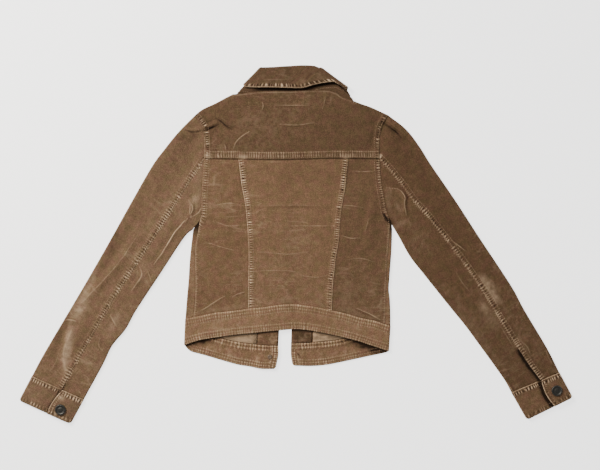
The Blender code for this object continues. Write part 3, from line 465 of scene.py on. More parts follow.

# Creases of the top layer: points, width, height, and wear of the line along the crest:
# above 0 a pale line, partly rubbed and partly painted highlight, below 0 a painted dark
# line of shade in the fold. The trough beside a crest lies to the left of its direction.
CREASES = [
    # left shoulder
    ([(-207, 217), (-191, 213), (-175, 215.5)], 3, 1.8, 0.3),
    ([(-205, 214.5), (-191, 210), (-174, 212.5)], 3, 0.0, -0.9),
    ([(-174, 212), (-166, 214), (-155, 218), (-143, 223.6)], 4, 0.0, -1.7),
    ([(-172, 217), (-158, 221.5), (-144, 227.5)], 4, 2.6, 0.2),
    ([(-150, 235), (-139, 229), (-129, 221), (-118, 214)], 5, 0.0, -1.1),
    ([(-147, 240), (-136, 234), (-124, 225), (-114, 219)], 5, 2.2, 0.1),
    ([(-116, 178), (-109, 193), (-85, 211)], 3, 0.9, 0.55),
    ([(-133, 187), (-131, 182), (-130, 176)], 3, 0.6, 0.5),
    # right shoulder
    ([(156, 230), (166, 222), (175, 216), (186, 207.5), (195, 197.5)], 6, 0.0, -1.2),
    ([(158, 237), (172, 226), (190, 213), (203, 200)], 7, 2.0, 0.1),
    ([(158, 61.5), (165, 53), (171, 46.7), (174, 42)], 3, 0.0, -2.2),
    ([(161, 49.5), (167, 46.5), (172, 43.5)], 3, 0.0, -1.8),
    ([(141, 217), (130, 193), (122, 176)], 8, 0.7, 0.1),
    # yoke
    ([(26, 258), (-7, 258), (-39, 258)], 3, 0.3, 0.3),
    ([(37, 226), (2, 222), (-30, 223)], 3, 0.3, 0.35),
    ([(-63, 265), (-61, 258), (-63, 250)], 3, 0.3, 0.4),
    ([(54, 276), (52, 263), (48, 250)], 3, 0.3, 0.35),
    # body
    ([(-178, -122), (-154, -107), (-130, -93)], 3, 1.0, 0.6),
    ([(-118, -96), (-107, -90), (-94, -86)], 3, 0.5, 0.5),
    ([(155, -138), (133, -125), (111, -116)], 3, 0.8, 0.5),
    ([(-11, 36), (35, 36), (81, 36)], 3, 0.6, 0.4),
    ([(85, 17), (102, 13.5), (119, 14)], 3, 0.7, 0.5),
    ([(100, 137), (122, 136), (146, 137)], 3, 0.5, 0.35),
    ([(63, 73), (-7, 74), (-76, 73)], 4, 0.7, 0.15),
    ([(133, -9), (139, 56), (148, 93)], 8, 1.2, 0.1),
    ([(133, 50), (131, 38), (127, 25)], 3, 0.9, 0.4),
    ([(-168, 6), (-137, -3), (-104, -12)], 4, 0.7, 0.25),
    ([(-76, -12), (-20, -16), (26, -12)], 4, 0.6, 0.2),
    ([(-85, -49), (-39, -46), (7, -49)], 4, 0.5, 0.2),
    ([(91, -27), (118, -24), (148, -31)], 4, 0.6, 0.25),
    ([(-150, 74), (-122, 78), (-98, 73)], 4, 0.6, 0.25),
    ([(81, 73), (104, 73), (126, 69)], 3, 0.6, 0.3),
    ([(7, -55), (35, -59), (67, -53)], 4, 0.5, 0.2),
    ([(-148, 43), (-126, 36), (-104, 37)], 4, 0.6, 0.25),
    # left sleeve
    ([(-263, -36), (-244, -9), (-224, 23), (-213, 36), (-204, 46.5), (-196, 50.7),
      (-184, 57.3), (-178, 63), (-175.6, 69)], 3, 1.6, 1.0),
    ([(-197, 52), (-196.5, 63), (-196, 75)], 3, 1.0, 0.4),
    ([(-401, -112), (-331, -37), (-292, 19)], 8, 2.6, 0.3),
    ([(-420, -249), (-429, -199), (-411, -149)], 7, 2.8, 0.2),
    ([(-429, -138), (-418, -137), (-405, -140)], 3, 0.8, 0.5),
    ([(-198, 84), (-190, 67), (-205, 43)], 3, 1.2, 0.5),
    ([(-305, -85), (-285, -57), (-289, -37)], 5, 1.6, 0.45),
    ([(-331, -151), (-339, -138), (-344, -127)], 4, 1.0, 0.4),
    ([(-355, -197), (-364, -185), (-361, -168)], 4, 1.0, 0.25),
    ([(-265, -74), (-270, -59), (-276, -42)], 5, 1.0, 0.15),
    ([(-270, 65), (-266, 93), (-252, 121)], 9, 1.1, 0.1),
    ([(-455, -234), (-444, -216), (-437, -194)], 7, 0.9, 0.2),
    # right sleeve
    ([(167, 106), (190, 103.3), (201, 90), (199.5, 76), (204, 54)], 4, 1.6, 0.6),
    ([(285, 10), (300, -1), (314, -12)], 4, 1.4, 0.6),
    ([(350, -42), (342, -31), (337, -20)], 6, 1.1, 0.1),
    ([(337, -55), (357, -86), (377, -120)], 11, 1.6, 0.3),
    ([(414, -175), (426, -186), (433, -201)], 5, 0.9, 0.3),
    ([(461, -194), (466, -207), (474, -220)], 5, 0.9, 0.3),
    ([(202, 176), (226, 143), (239, 111)], 10, 0.9, 0.1),
    ([(322, -86), (307, -70), (294, -46)], 6, 0.9, 0.2),
    ([(400, -185), (388, -166), (377, -148)], 6, 0.8, 0.2),
    ([(387, -250), (396, -263), (405, -277)], 3, 0.5, 0.45),
]

# Half widths of the pale crease lines and of the painted dark lines of shade in folds, and
# a distance where there is none
LINE_PALE = 0.85
LINE_DARK = 1.9
FAR = 9.0

# Spots of wear and of painted highlight, and of painted shade where the strength is below
# 0: x, y, reach along and across, direction in degrees, strength
WORN_AND_SHADED_SPOTS = [
    # rubbed seam crossings, and pale patches on elbows and forearms, partly wear and partly
    # painted highlight
    (-98, 163, 7, 5, 0, 0.8), (92, 163, 8, 5, 0, 0.6), (-163, 165, 5, 5, 0, 0.8),
    (152, 164, 6, 6, 0, 0.5), (-188, 84, 10, 6, 60, 0.35), (-398, -110, 30, 14, 55, 0.22),
    (353, -70, 18, 8, -50, 0.65),
    (366, -94, 16, 7, -50, 0.65), (348, -116, 14, 7, -60, 0.3),
    (-421, -184, 36, 8, 84, 0.7), (-400, -120, 16, 9, 55, 0.35),
    (-427, -222, 20, 5, 104, 0.25), (-287, -54, 16, 7, 60, 0.12),
    (344, -185, 60, 14, -56, 0.12), (411, -176, 25, 8, -56, 0.12),
    (361, -137, 20, 8, -56, 0.12), (95, -60, 90, 12, 90, 0.06),
    # painted shade in the hollows and painted highlight on the ridges of the left sleeve
    (-338, 6, 56, 8, 72, -0.5), (-381, -73, 40, 7, 65, 0.3), (-438, -172, 40, 9, 70, -0.4),
    (-394, -172, 42, 8, 62, -0.4), (-335, -140, 20, 6, 62, 0.28),
    (-318, -104, 26, 6, 66, -0.15), (-298, 36, 40, 6, 60, 0.15),
    # painted shadow in the armpits
    (-186, 46, 10, 4, 50, -0.35), (174, 43, 5, 4, -60, -2.0),
    # painted shade and highlight beside the folds of the left and right shoulder
    (-187, 204, 14, 6, 0, -0.35), (-155, 226, 12, 5, 25, -0.2), (-170, 247, 14, 8, 30, 0.1),
    (176, 213, 22, 5, -42, -0.4), (184, 221, 20, 4, -42, 0.08),
    # cuffs: painted shade beside the tabs, and rubbed spots near their upper ends
    (-459, -281, 16, 8, 60, -0.28), (-434, -281, 7, 5, 0, 0.8), (464, -253, 5, 3.5, 0, 0.6),
    (430, -262, 8, 14, 35, -0.2),
    # broad painted shade, and a faint lighter patch over the lower left
    (-202, 195, 22, 12, -35, -0.3), (146, 62, 75, 12, 90, -0.3),
    (-280, 83, 130, 15, -122, -0.34), (-207, 186, 60, 28, -122, -0.36),
    (235, 108, 150, 26, -56, -0.22), (202, 176, 60, 20, -56, -0.22),
    (20, 138, 95, 26, 0, -0.28), (58, 40, 90, 22, 90, -0.1), (90, 215, 60, 60, 0, -0.15),
    (-100, -190, 200, 160, 0, 0.03),
]

# Spots of painted shade inside the hem opening, in the same form: at the fold at each side,
# and in the buttonhole's slit
LOW_SPOTS = [(-175, -179.5, 30, 4.5, 14, -1.5), (138, -188, 36, 8, -19, -2.4),
             (4, -202, 6, 1.5, -55, -2.2)]

# Buttonhole: middle, half length and width, direction of its slit
BUTTONHOLE = (5.5, -203, 6.5, 2.6, -50)
BUTTONHOLE_STITCHES = 30

# Cells of a noise, points worked on at once, and how near points are joined
NOISE_CELLS = 64
POINTS_AT_ONCE = 4000
JOIN_WITHIN = 0.05

STITCHES = []


def smooth(rows, per_span=14):
    """Points close together on a smooth curve through the rows of a table."""
    p = np.array(rows, float)
    p = np.vstack([2 * p[0] - p[1], p, 2 * p[-1] - p[-2]])
    t = np.linspace(0, 1, per_span, endpoint=False)[:, None]
    spans = [b + 0.5 * t * (c - a + t * (2 * a - 5 * b + 4 * c - d
                                         + t * (3 * b - a - 3 * c + d)))
             for a, b, c, d in zip(p, p[1:], p[2:], p[3:])]
    return np.vstack(spans + [p[-2:-1]])


def run_of(points, axis=0):
    """Distance along a curve, or along each line of a grid, at each of its points."""
    steps = np.linalg.norm(np.diff(points[..., :3], axis=axis), axis=-1)
    start = np.zeros_like(steps.take([0], axis))
    return np.concatenate([start, np.cumsum(steps, axis)], axis)


def length_of(curve):
    """Whole length of a curve."""
    return run_of(curve)[-1]


def along(curve, fractions):
    """Points at fractions of a curve's length."""
    run = run_of(curve)
    where = np.asarray(fractions, float) * run[-1]
    return np.stack([np.interp(where, run, curve[:, k]) for k in (0, 1)], axis=1)


def between(curve, start, end, fractions):
    """Points on the stretch of a curve between two of its fractions."""
    return along(curve, start + (end - start) * np.asarray(fractions))


def fractions_at(curve, x):
    """Fractions of the length at which a curve that runs along X reaches x."""
    run = run_of(curve)
    return np.interp(x, curve[:, 0], run) / run[-1]


def even(count):
    """Fractions from 0 to 1 in equal steps."""
    return np.linspace(0, 1, count + 1)


def blend(a, b, weights):
    """Points between a and b, one for each weight."""
    w = np.asarray(weights, float)[:, None]
    return np.asarray(a) * (1 - w) + np.asarray(b) * w


def ramp(value, start, end):
    """Soft step from 0 at start to 1 at end."""
    t = np.clip((value - start) / (end - start), 0, 1)
    return t * t * (3 - 2 * t)


def bell(value, width):
    """Bell curve of height 1."""
    return np.exp(-(value / width) ** 2)


def along_and_left(points, degrees):
    """How far points lie along a direction and to its left."""
    turn = math.radians(degrees)
    down = np.array([math.cos(turn), math.sin(turn)])
    return points[..., :2] @ down, points[..., :2] @ (-down[1], down[0])


def nearest(points, curve):
    """Distance of points to a curve, how far along it, and the side: 1 is left."""
    a, step = curve[:-1], np.diff(curve, axis=0)
    length = np.maximum((step * step).sum(1), 1e-12)
    run = run_of(curve)
    found = []
    for some in np.array_split(points, max(1, len(points) // POINTS_AT_ONCE)):
        rel = some[:, None, :] - a[None]
        t = np.clip((rel * step).sum(2) / length, 0, 1)
        off = rel - t[..., None] * step
        away = np.linalg.norm(off, axis=2)
        pick = away.argmin(1)
        row = np.arange(len(some))
        cross = step[pick, 0] * off[row, pick, 1] - step[pick, 1] * off[row, pick, 0]
        where = run[pick] + t[row, pick] * (run[pick + 1] - run[pick])
        found.append(np.stack([away[row, pick], where, np.sign(cross)]))
    return np.concatenate(found, axis=1)


def distance_to(points, curve):
    """Distance of each point to a curve."""
    return nearest(points, curve)[0]


def inside(points, outline):
    """True for the points within a closed outline."""
    x, y = points[:, 0], points[:, 1]
    result = np.zeros(len(points), bool)
    for (x1, y1), (x2, y2) in zip(outline, np.roll(outline, -1, axis=0)):
        crosses = (y1 > y) != (y2 > y)
        slope = (x2 - x1) / (y2 - y1) if y2 != y1 else 0.0
        result ^= crosses & (x < x1 + (y - y1) * slope)
    return result


def noise(points, size, seed):
    """Soft field from -1 to 1 whose features have the given size in millimetres."""
    count = NOISE_CELLS
    table = np.random.default_rng(seed).uniform(-1, 1, (count, count))
    cell = np.floor(points / size).astype(int)
    part = points / size - cell
    part = part * part * (3 - 2 * part)
    x, y = cell[..., 0] % count, cell[..., 1] % count
    near, far = (table[x, row] * (1 - part[..., 0]) + table[(x + 1) % count, row]
                 * part[..., 0] for row in (y, (y + 1) % count))
    return near * (1 - part[..., 1]) + far * part[..., 1]


def noises(points, table):
    """Sum of the noises of a table of strength, size and seed."""
    return sum(strength * noise(points, size, seed) for strength, size, seed in table)


NECK, YOKE, BAND, HEM = map(smooth, (NECKLINE, YOKE_SEAM, BAND_SEAM, BACK_HEM))


@functools.cache
def torso(side, name):
    """One of the smooth curves of a side of the torso."""
    return smooth(TORSO[side][name])


def sleeve_points(side, rows):
    """Places on the surface of rows of along, across on a sleeve."""
    angle = math.radians(SLEEVES[side]["direction"])
    down = np.array([math.cos(angle), math.sin(angle)])
    across = np.array([-down[1], down[0]]) * SLEEVES[side]["towards_body"]
    rows = np.array(rows, float)
    shoulder = np.array(TORSO[side]["shoulder"][0], float)
    return shoulder + rows[:, :1] * down + rows[:, 1:] * across


@functools.cache
def sleeve_curves(side):
    """Outer fold, back seam and inner fold of a sleeve, from armhole to cuff."""
    starts = {"outer": [], "back_seam": TORSO[side]["armhole_yoke"][-1:],
              "inner": TORSO[side]["armhole_side"][-1:]}
    return [smooth(start + sleeve_points(side, SLEEVES[side][name]).tolist())
            for name, start in starts.items()]


def side_edge(side):
    """The fold at the side of the torso, down to the hem."""
    return np.vstack([torso(side, "side_fold"), TORSO[side]["front_hem"][:1]])


def fold_lines():
    """All folds between the top and the low layer."""
    lines = []
    for side in TORSO:
        outer, _, inner = sleeve_curves(side)
        hem = sleeve_points(side, SLEEVES[side]["hem"])
        lines += [torso(side, "shoulder"), side_edge(side),
                  np.vstack([outer, hem[:1]]), np.vstack([inner, hem[1:]])]
    return lines


FOLD_LINES = fold_lines()

# Outlines of the collar's front ends, which lie under the fronts
COLLAR_OUTLINES = [np.vstack([smooth(end["roll"], 6), smooth(end["edge"], 6)[::-1]])
                   for end in COLLAR_FRONT.values()]


def lift(points, wide):
    """How far the collar ends and the front buttons lift the cloth above them."""
    reach = LIFT_WIDE if wide else LIFT_NARROW
    raised = np.zeros(len(points))
    for outline in COLLAR_OUTLINES:
        away = distance_to(points, np.vstack([outline, outline[:1]]))
        away[inside(points, outline)] = 0
        raised = np.maximum(raised, COLLAR_LIFT * (1 - ramp(away, *reach)))
    edge = smooth(TORSO["left"]["front_edge"] + TORSO["left"]["band_end"][1:])
    middle = np.interp(points[:, 1], edge[::-1, 1], edge[::-1, 0]) - BUTTON_FROM_EDGE
    reach = BUTTON_LIFT_WIDE if wide else BUTTON_LIFT_NARROW
    strip = BUTTON_LIFT * (1 - ramp(np.abs(points[:, 0] - middle), *reach))
    return np.maximum(raised, strip * (1 - ramp(points[:, 1], *BUTTON_LIFT_FADE)))


def table_shift():
    """Metres from the tables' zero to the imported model's, from a cuff button."""
    low, high = (np.array(corner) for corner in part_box("cuff_button_left"))
    place = (*sleeve_points("left", [SLEEVES["left"]["button"]])[0],
             CUFF_TAB + DOUBLED / 2 + GAP)
    return np.append((low + high)[:2] / 2, low[2]) - np.array(place) * MM


SHIFT = table_shift()


def puckers(run, away, seed, pitch):
    """Small cross ridges along a seam, from 0 to 1, uneven in pitch and height."""
    line = np.stack([run, np.full_like(run, 7.0 * seed)], axis=-1)
    place = np.stack([run, away], axis=-1)
    phase = run / pitch + 0.5 * noise(line, 11, 2 * seed)
    phase += 0.16 * noise(place, 4, 2 * seed + 2)
    height = 0.72 + 0.28 * noise(line, 7, 2 * seed + 1)
    return height * (0.5 + 0.5 * np.cos(2 * math.pi * phase)) ** PUCKER_SHARPNESS


def seam_shape(away, run, kind, seed, free=1.0):
    """Height, and wear with painted shade, at distances from a seam and along it; free lets
    it rise.
    """
    raised, pucker, reach, lines, rows = SEAM_KINDS[kind]
    ridge = puckers(run, away, seed, PITCH_OF.get(kind, PUCKER_PITCH))
    level = 1 - ramp(away, reach, reach + SEAM_SLOPE)
    height = raised * free * level * (1 - EDGE_DIP * bell(away, NEEDLE_WIDTH))
    height += pucker * ramp(away, *PUCKER_START) * level * (ridge - PUCKER_SINK)
    place = np.stack([run, away], axis=-1)
    rubbed = 0.8 + 0.35 * noise(place, 6, seed + 50) + 0.3 * noise(place, 45, seed + 51)
    # a pucker's crest is rubbed pale, and its foot is painted dark as shade between puckers
    bar = BAR_CONTRAST * ridge - BAR_DARK
    wear_and_shading = np.zeros_like(away)
    for distance, width, steady, barred in lines:
        wear_and_shading += bell(away - distance, width) * (steady * rubbed + barred * bar * rubbed)
    for row in rows:
        height -= STITCH_SINK * bell(away - row, NEEDLE_WIDTH)
    return height, wear_and_shading


def seam_form(points, seams):
    """Height, and wear with painted shade, that the seams round a piece give its points."""
    height, wear_and_shading = np.zeros(len(points)), np.zeros(len(points))
    places = [nearest(points, curve)[:2] for curve, _ in seams]
    free = np.ones(len(points))
    for (away, _), (_, kind) in zip(places, seams):
        if kind in FLAT_SEAMS:
            free *= 0.3 + 0.7 * ramp(away, 1, 7)
    for (away, run), (curve, kind) in zip(places, seams):
        seed = 3 + int(abs(curve[0, 0]) + abs(curve[-1, 1]))
        raised, worn_and_shaded = seam_shape(away, run, kind, seed, free)
        height += raised
        wear_and_shading += worn_and_shaded
    return height, wear_and_shading


def spots(points, table):
    """Wear, painted highlight and painted shade of a table of spots."""
    wear_and_shading = np.zeros(len(points))
    for x, y, long, wide, degrees, strength in table:
        u, v = along_and_left(points - (x, y), degrees)
        shape = np.exp(-(u / long) ** 2 - (v / wide) ** 2)
        wear_and_shading += strength * shape * (0.75 + 0.35 * noise(points, 5, 106))
    return wear_and_shading


def crease_form(points, degrees=90):
    """Height, wear and painted shade, and crease lines of the top layer, with ripples and
    spots.

    A line is the distance to it, in shares of its width, and its wear, which is painted
    shade below 0: the finish draws it from these, sharper than the points lie.
    """
    turned = np.column_stack(along_and_left(points, degrees)[::-1])
    height = sum(tall * noise(turned * stretched, size, seed)
                 for tall, stretched, size, seed in RIPPLES)
    height += noises(points, TOP_RELIEF)
    wear_and_shading = noises(points, TOP_WEAR)
    bend = WRINKLE_BEND * noise(points, 25, 108)[:, None]
    fine = noise(turned * WRINKLE_STRETCH + bend, 7, 107)
    line = np.clip(1 - WRINKLE_SHARPNESS * np.abs(fine), 0, 1)
    line *= np.clip(WRINKLED_SHARE + noise(points, 38, 109), 0, 1)
    height += WRINKLE_HEIGHT * line
    wear_and_shading += WRINKLE_WEAR * line
    fold = np.tile([FAR, 0.0], (len(points), 1))
    for rows, width, tall, rubbed in CREASES:
        curve = smooth(rows, 6)
        low, high = curve.min(0) - 4 * width, curve.max(0) + 4 * width
        near = np.flatnonzero(((points > low) & (points < high)).all(1))
        if not len(near):
            continue
        away, run, side = nearest(points[near], curve)
        left = away * side + CREASE_WANDER * noise(points[near], 14, 110)
        run = run / length_of(curve)
        ends = CREASE_ENDS * width / length_of(curve)
        swell = (0.35 + 0.65 * np.sin(math.pi * np.clip(run, 0, 1))) * (
            ramp(run, 0, ends) * (1 - ramp(run, 1 - ends, 1)))
        height[near] += tall * swell * (
            bell(left, width) - TROUGH * bell(left - 1.5 * width, width))
        strength = rubbed * swell * (0.9 + 0.4 * noise(points[near], 6, 111))
        # a rubbed crest gets painted shade in the trough beside it
        if rubbed > 0:
            beside = bell(left - 0.5 * width - 1, 0.25 * width + 0.8)
            wear_and_shading[near] -= TROUGH * strength * beside
        # the crease line is drawn pale on a crest, and as a painted dark line of shade
        # where its wear is below 0
        shares = left / (LINE_PALE if rubbed > 0 else LINE_DARK)
        drawn = np.column_stack([shares, strength * (1 - ramp(np.abs(shares), 3, 5))])
        closest = np.abs(shares) < np.abs(fold[near, 0])
        fold[near[closest]] = drawn[closest]
    return height, wear_and_shading + spots(points, WORN_AND_SHADED_SPOTS), fold


def lay(plan, layer, seams=(), low=LOW_LAYER, top=TOP_LAYER, degrees=90):
    """Give points in plan their height on the top (1) or low (-1) layer, and wear with
    painted shade.
    """
    flat = plan.reshape(-1, 2)
    extra, wear_and_shading = seam_form(flat, seams)
    if layer > 0:
        creased, rubbed, fold = crease_form(flat, degrees)
        extra += creased
        wear_and_shading += rubbed
    else:
        fold = np.tile([FAR, 0.0], (len(flat), 1))
        wear_and_shading += noises(flat, LOW_WEAR)
        # painted shade in the hem opening: dark spots, and a dark line just under the
        # back's hem
        wear_and_shading += spots(flat, LOW_SPOTS)
        wear_and_shading -= HEM_SHADE * (1 - ramp(distance_to(flat, HEM), *HEM_SHADE_ENDS))
    lower, upper = low + lift(flat, False), top + lift(flat, True)
    radius = (upper - lower) / 2
    from_fold = np.min([distance_to(flat, line) for line in FOLD_LINES], axis=0)
    round_part = np.sqrt(1 - np.clip(1 - from_fold / radius, 0, 1) ** 2)
    z = (lower + upper) / 2 + layer * radius * round_part + extra * round_part
    return np.column_stack([flat, z, wear_and_shading, fold]).reshape(plan.shape[:-1] + (6,))


def wales(points, degrees=90):
    """Add how far each point lies across and along the wales, which run that way."""
    along_wale, across = along_and_left(points, degrees)
    return np.concatenate([points, across[..., None], along_wale[..., None]], axis=-1)


def band_wales(points):
    """The same for a strip whose wales follow its length, along its rows."""
    runs = [run_of(points, axis)[..., None] for axis in (0, 1)]
    return np.concatenate([points] + runs, axis=-1)


def patch(first, last, start, end, rows, columns):
    """Grid in plan between four edges; first and last run along the columns."""
    v, u = rows[:, None, None], columns[None, :, None]
    across = first[None] * (1 - v) + last[None] * v
    down = start[:, None] * (1 - u) + end[:, None] * u
    corners = (start[0] * (1 - u) + end[0] * u) * (1 - v) + \
        (start[-1] * (1 - u) + end[-1] * u) * v
    return across + down - corners


def near_folds(length, start_steps, end_steps, count):
    """Fractions of a length, close together near each end that is a fold or a seam."""
    head = [0.0] + [step / length for step in start_steps]
    tail = [1 - step / length for step in end_steps][::-1] + [1.0]
    middle = np.linspace(head[-1], tail[0], count + 1)
    return np.array(head[:-1] + list(middle) + tail[1:])


def draw_in_edges(bm, distance):
    """Move the open edges of a surface inwards, or outwards where it is negative."""
    moves = {}
    for edge in bm.edges:
        if not edge.is_boundary:
            continue
        face = edge.link_faces[0]
        a, b = edge.verts
        inward = face.normal.cross(b.co - a.co).normalized()
        if inward.dot(face.calc_center_median() - a.co) < 0:
            inward.negate()
        for vert in (a, b):
            moves.setdefault(vert, []).append(inward)
    for vert, directions in moves.items():
        total = sum(directions[1:], directions[0].copy())
        share = max(total.length_squared / len(directions), 0.5)
        vert.co += total * distance / share


def round_corner(plan, end, radius):
    """Shorten the columns near one end of a strip, so that its last corner is round."""
    v = even(len(plan) - 1)
    height = np.linalg.norm(plan[-1, end] - plan[0, end])
    away = np.linalg.norm(plan[-1] - plan[-1, end], axis=1)
    for k in np.flatnonzero(away < radius):
        cut = radius - math.sqrt(radius ** 2 - (radius - away[k]) ** 2)
        for axis in (0, 1):
            plan[:, k, axis] = np.interp(v * (1 - cut / height), v, plan[:, k, axis])
    return plan


def show(name, data):
    """Put a new object in the scene."""
    obj = bpy.data.objects.new(name, data)
    bpy.context.scene.collection.objects.link(obj)
    return obj


def mesh_of(name, points, faces, edges=()):
    """Mesh from points in metres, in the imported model's frame."""
    mesh = bpy.data.meshes.new(name)
    mesh.from_pydata(points, edges, faces)
    return mesh


def take_over(obj, node, finish):
    """Let a piece stand for the solid of the same name."""
    obj.data.materials.append(finish)
    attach(obj, "root")
    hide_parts(node)
    return obj


def cloth_name(node):
    """Name of the cloth that stands for a node's solid."""
    return node + "_cloth"


def cloth(node, grids, thickness, finish, gap=-OVERLAP):
    """A wall of cloth on grids of x, y, z, wear with painted shade, crease line and place
    in its wales.
    """
    faces, start = [], 0
    for grid in grids:
        index = np.arange(grid[..., 0].size).reshape(grid.shape[:2]) + start
        quads = [index[:-1, :-1], index[:-1, 1:], index[1:, 1:], index[1:, :-1]]
        faces.append(np.stack(quads, axis=-1).reshape(-1, 4))
        start += index.size
    faces = np.vstack(faces)
    data = np.vstack([grid.reshape(-1, 8) for grid in grids])
    mesh = mesh_of(cloth_name(node), (data[:, :3] * MM + SHIFT).tolist(), faces.tolist())
    worn_and_shaded = mesh.attributes.new("worn_and_shaded", "FLOAT", "POINT")
    worn_and_shaded.data.foreach_set("value", data[:, 3])
    fold = mesh.attributes.new("fold", "FLOAT_VECTOR", "POINT")
    fold.data.foreach_set("vector", np.column_stack([data[:, 4:6], 0 * data[:, 3]]).ravel())
    grain = mesh.uv_layers.new(name="grain")
    grain.data.foreach_set("uv", data[faces.ravel(), 6:].ravel())
    bm = bmesh.new()
    bm.from_mesh(mesh)
    bmesh.ops.remove_doubles(bm, verts=bm.verts, dist=JOIN_WITHIN * MM)
    bmesh.ops.recalc_face_normals(bm, faces=bm.faces)
    bm.normal_update()
    draw_in_edges(bm, gap / 2 * MM)
    bm.to_mesh(mesh)
    bm.free()
    mesh.shade_smooth()
    obj = take_over(show(mesh.name, mesh), node, finish)
    area = sum(face.area for face in mesh.polygons)
    wall = obj.modifiers.new("wall", "SOLIDIFY")
    wall.thickness = thickness * MM
    wall.offset = 0
    width = sum(length_of(grid[len(grid) // 2]) for grid in grids) * MM
    length = max(length_of(grid[:, k]) for grid in grids for k in (0, -1)) * MM
    length = max(length, area / width * 1.02)
    return obj


@functools.cache
def surface_of(name):
    """Tree of a piece's finished surface, for finding the height at a place."""
    seen = bpy.data.objects[name].evaluated_get(bpy.context.evaluated_depsgraph_get())
    return BVHTree.FromPolygons([vert.co for vert in seen.data.vertices],
                                [face.vertices for face in seen.data.polygons])


def sew(name, start, end, cast_from):
    """Keep a stitch between two places in plan, dropped on a piece from a height."""
    pair = []
    for x, y in (start, end):
        origin = Vector((x * MM, y * MM, cast_from * MM)) + Vector(SHIFT)
        pair.append(surface_of(name).ray_cast(origin, Vector((0, 0, -1)))[0])
    if None not in pair and abs(pair[0].z - pair[1].z) < STEEPEST_STITCH * MM:
        STITCHES.append([tuple(point) for point in pair])


def stitch(piece, seams, grid, cast_from=TOP_CAST):
    """Lay the rows of stitches of some seams on a piece."""
    centre = grid[..., :2].reshape(-1, 2).mean(0)
    for curve, kind in seams:
        side = nearest(centre[None], curve)[2][0]
        for row in SEAM_KINDS[kind][4]:
            line = along(curve, np.linspace(0, 1, max(3, int(length_of(curve)))))
            tangent = np.gradient(line, axis=0)
            tangent /= np.linalg.norm(tangent, axis=1, keepdims=True)
            line = line + np.column_stack([-tangent[:, 1], tangent[:, 0]]) * side * row
            run = np.arange(FIRST_STITCH, length_of(line) - STITCH_PITCH, STITCH_PITCH)
            starts = along(line, run / length_of(line))
            ends = along(line, (run + STITCH_LENGTH) / length_of(line))
            for start, end in zip(starts, ends):
                sew(piece.name, start, end, cast_from)


def armhole(side, span):
    """Armhole seam on one span, from its upper to its lower end."""
    return torso(side, "armhole_" + span)


def section(side, t, span):
    """Plan points across a sleeve at t of its length, on one span of a layer."""
    first, last, *spacing = SLEEVE_SPANS[span]
    start, end = (along(sleeve_curves(side)[k], [t])[0] for k in (first, last))
    hole = armhole(side, span)
    f = near_folds(np.linalg.norm(end - start) if t > 0 else length_of(hole), *spacing)
    bulge = along(hole, f) - blend(hole[0], hole[-1], f)
    return blend(start, end, f) + bulge * max(0.0, 1 - t / HEAD_OF_SLEEVE) ** 2


def part_underarm(plan, side, curve):
    """Move points next to the underarm along a fold that starts there."""
    underarm = np.array(TORSO[side]["armhole_side"][-1], float)
    down = (curve[6] - curve[0]) / np.linalg.norm(curve[6] - curve[0])
    away = np.linalg.norm(plan - underarm, axis=-1, keepdims=True)
    return plan + down * UNDERARM_PUSH * (1 - ramp(away, 0, UNDERARM_REACH))


def sleeve(side, finish):
    """Upper and under sleeve: the upper one holds the fold at the outside."""
    outer, seam, inner = sleeve_curves(side)
    plans = {span: np.array([section(side, t, span) for t in even(SLEEVE_ROWS)])
             for span in SLEEVE_SPANS}
    for span in ("side", "front"):
        plans[span] = part_underarm(plans[span], side, inner)
    degrees = SLEEVES[side]["direction"]
    low = lay(plans["front"], -1)
    turn = len(FOLD_STEPS) + LOW_COLUMNS
    vent = between(seam, SLEEVES[side]["vent"], 1, even(20))
    cuff_line = np.vstack([outer[-1], inner[-1]])
    for name, span, below, seams in (
            ("upper", "yoke", low[:, :turn + 1], [(seam, "sleeve_lap")]),
            ("under", "side", low[:, turn:],
             [(seam, "sleeve_under"), (vent, SLEEVES[side]["gap"])])):
        ends = [(armhole(side, span), "soft_under"), (cuff_line, "soft_under")]
        above = lay(plans[span], 1, seams + ends, degrees=degrees)
        piece = cloth(f"sleeve_{name}_{side}", [wales(above, degrees),
                                                wales(below, degrees)],
                      CLOTH, finish)
        stitch(piece, seams, above)


@functools.cache
def princess(side):
    """Seam between the back's middle and side panels, from yoke to waistband."""
    ends = [along(line, [fractions_at(line, x)])
            for line, x in zip((YOKE, BAND), TORSO[side]["princess_ends"])]
    return smooth(np.vstack([ends[0], TORSO[side]["princess"], ends[1]]))


def side_start(side):
    """Share of the side armhole that lies above the side seam."""
    return 1 - TORSO[side]["side_seam_start"] / length_of(armhole(side, "side"))


@functools.cache
def side_seam(side):
    """Visible side seam, from the armhole to the waistband."""
    start = along(armhole(side, "side"), [side_start(side)])
    end = along(BAND, [fractions_at(BAND, TORSO[side]["side_seam_end"])])
    return smooth(np.vstack([start, TORSO[side]["side_seam"], end]))


def stretch(curve, x_start, x_end, fractions):
    """Points of a curve between two values of X."""
    return between(curve, *fractions_at(curve, (x_start, x_end)), fractions)


def back_plan(first, last, rows, steps, count):
    """Plan of a panel between two edges that run down the back."""
    columns = near_folds(abs(last[0, 0] - first[0, 0]), SEAM_STEPS, steps, count)
    top, bottom = (stretch(line, first[k, 0], last[k, 0], columns)
                   for line, k in ((YOKE, 0), (BAND, -1)))
    return patch(top, bottom, first, last, rows, columns)


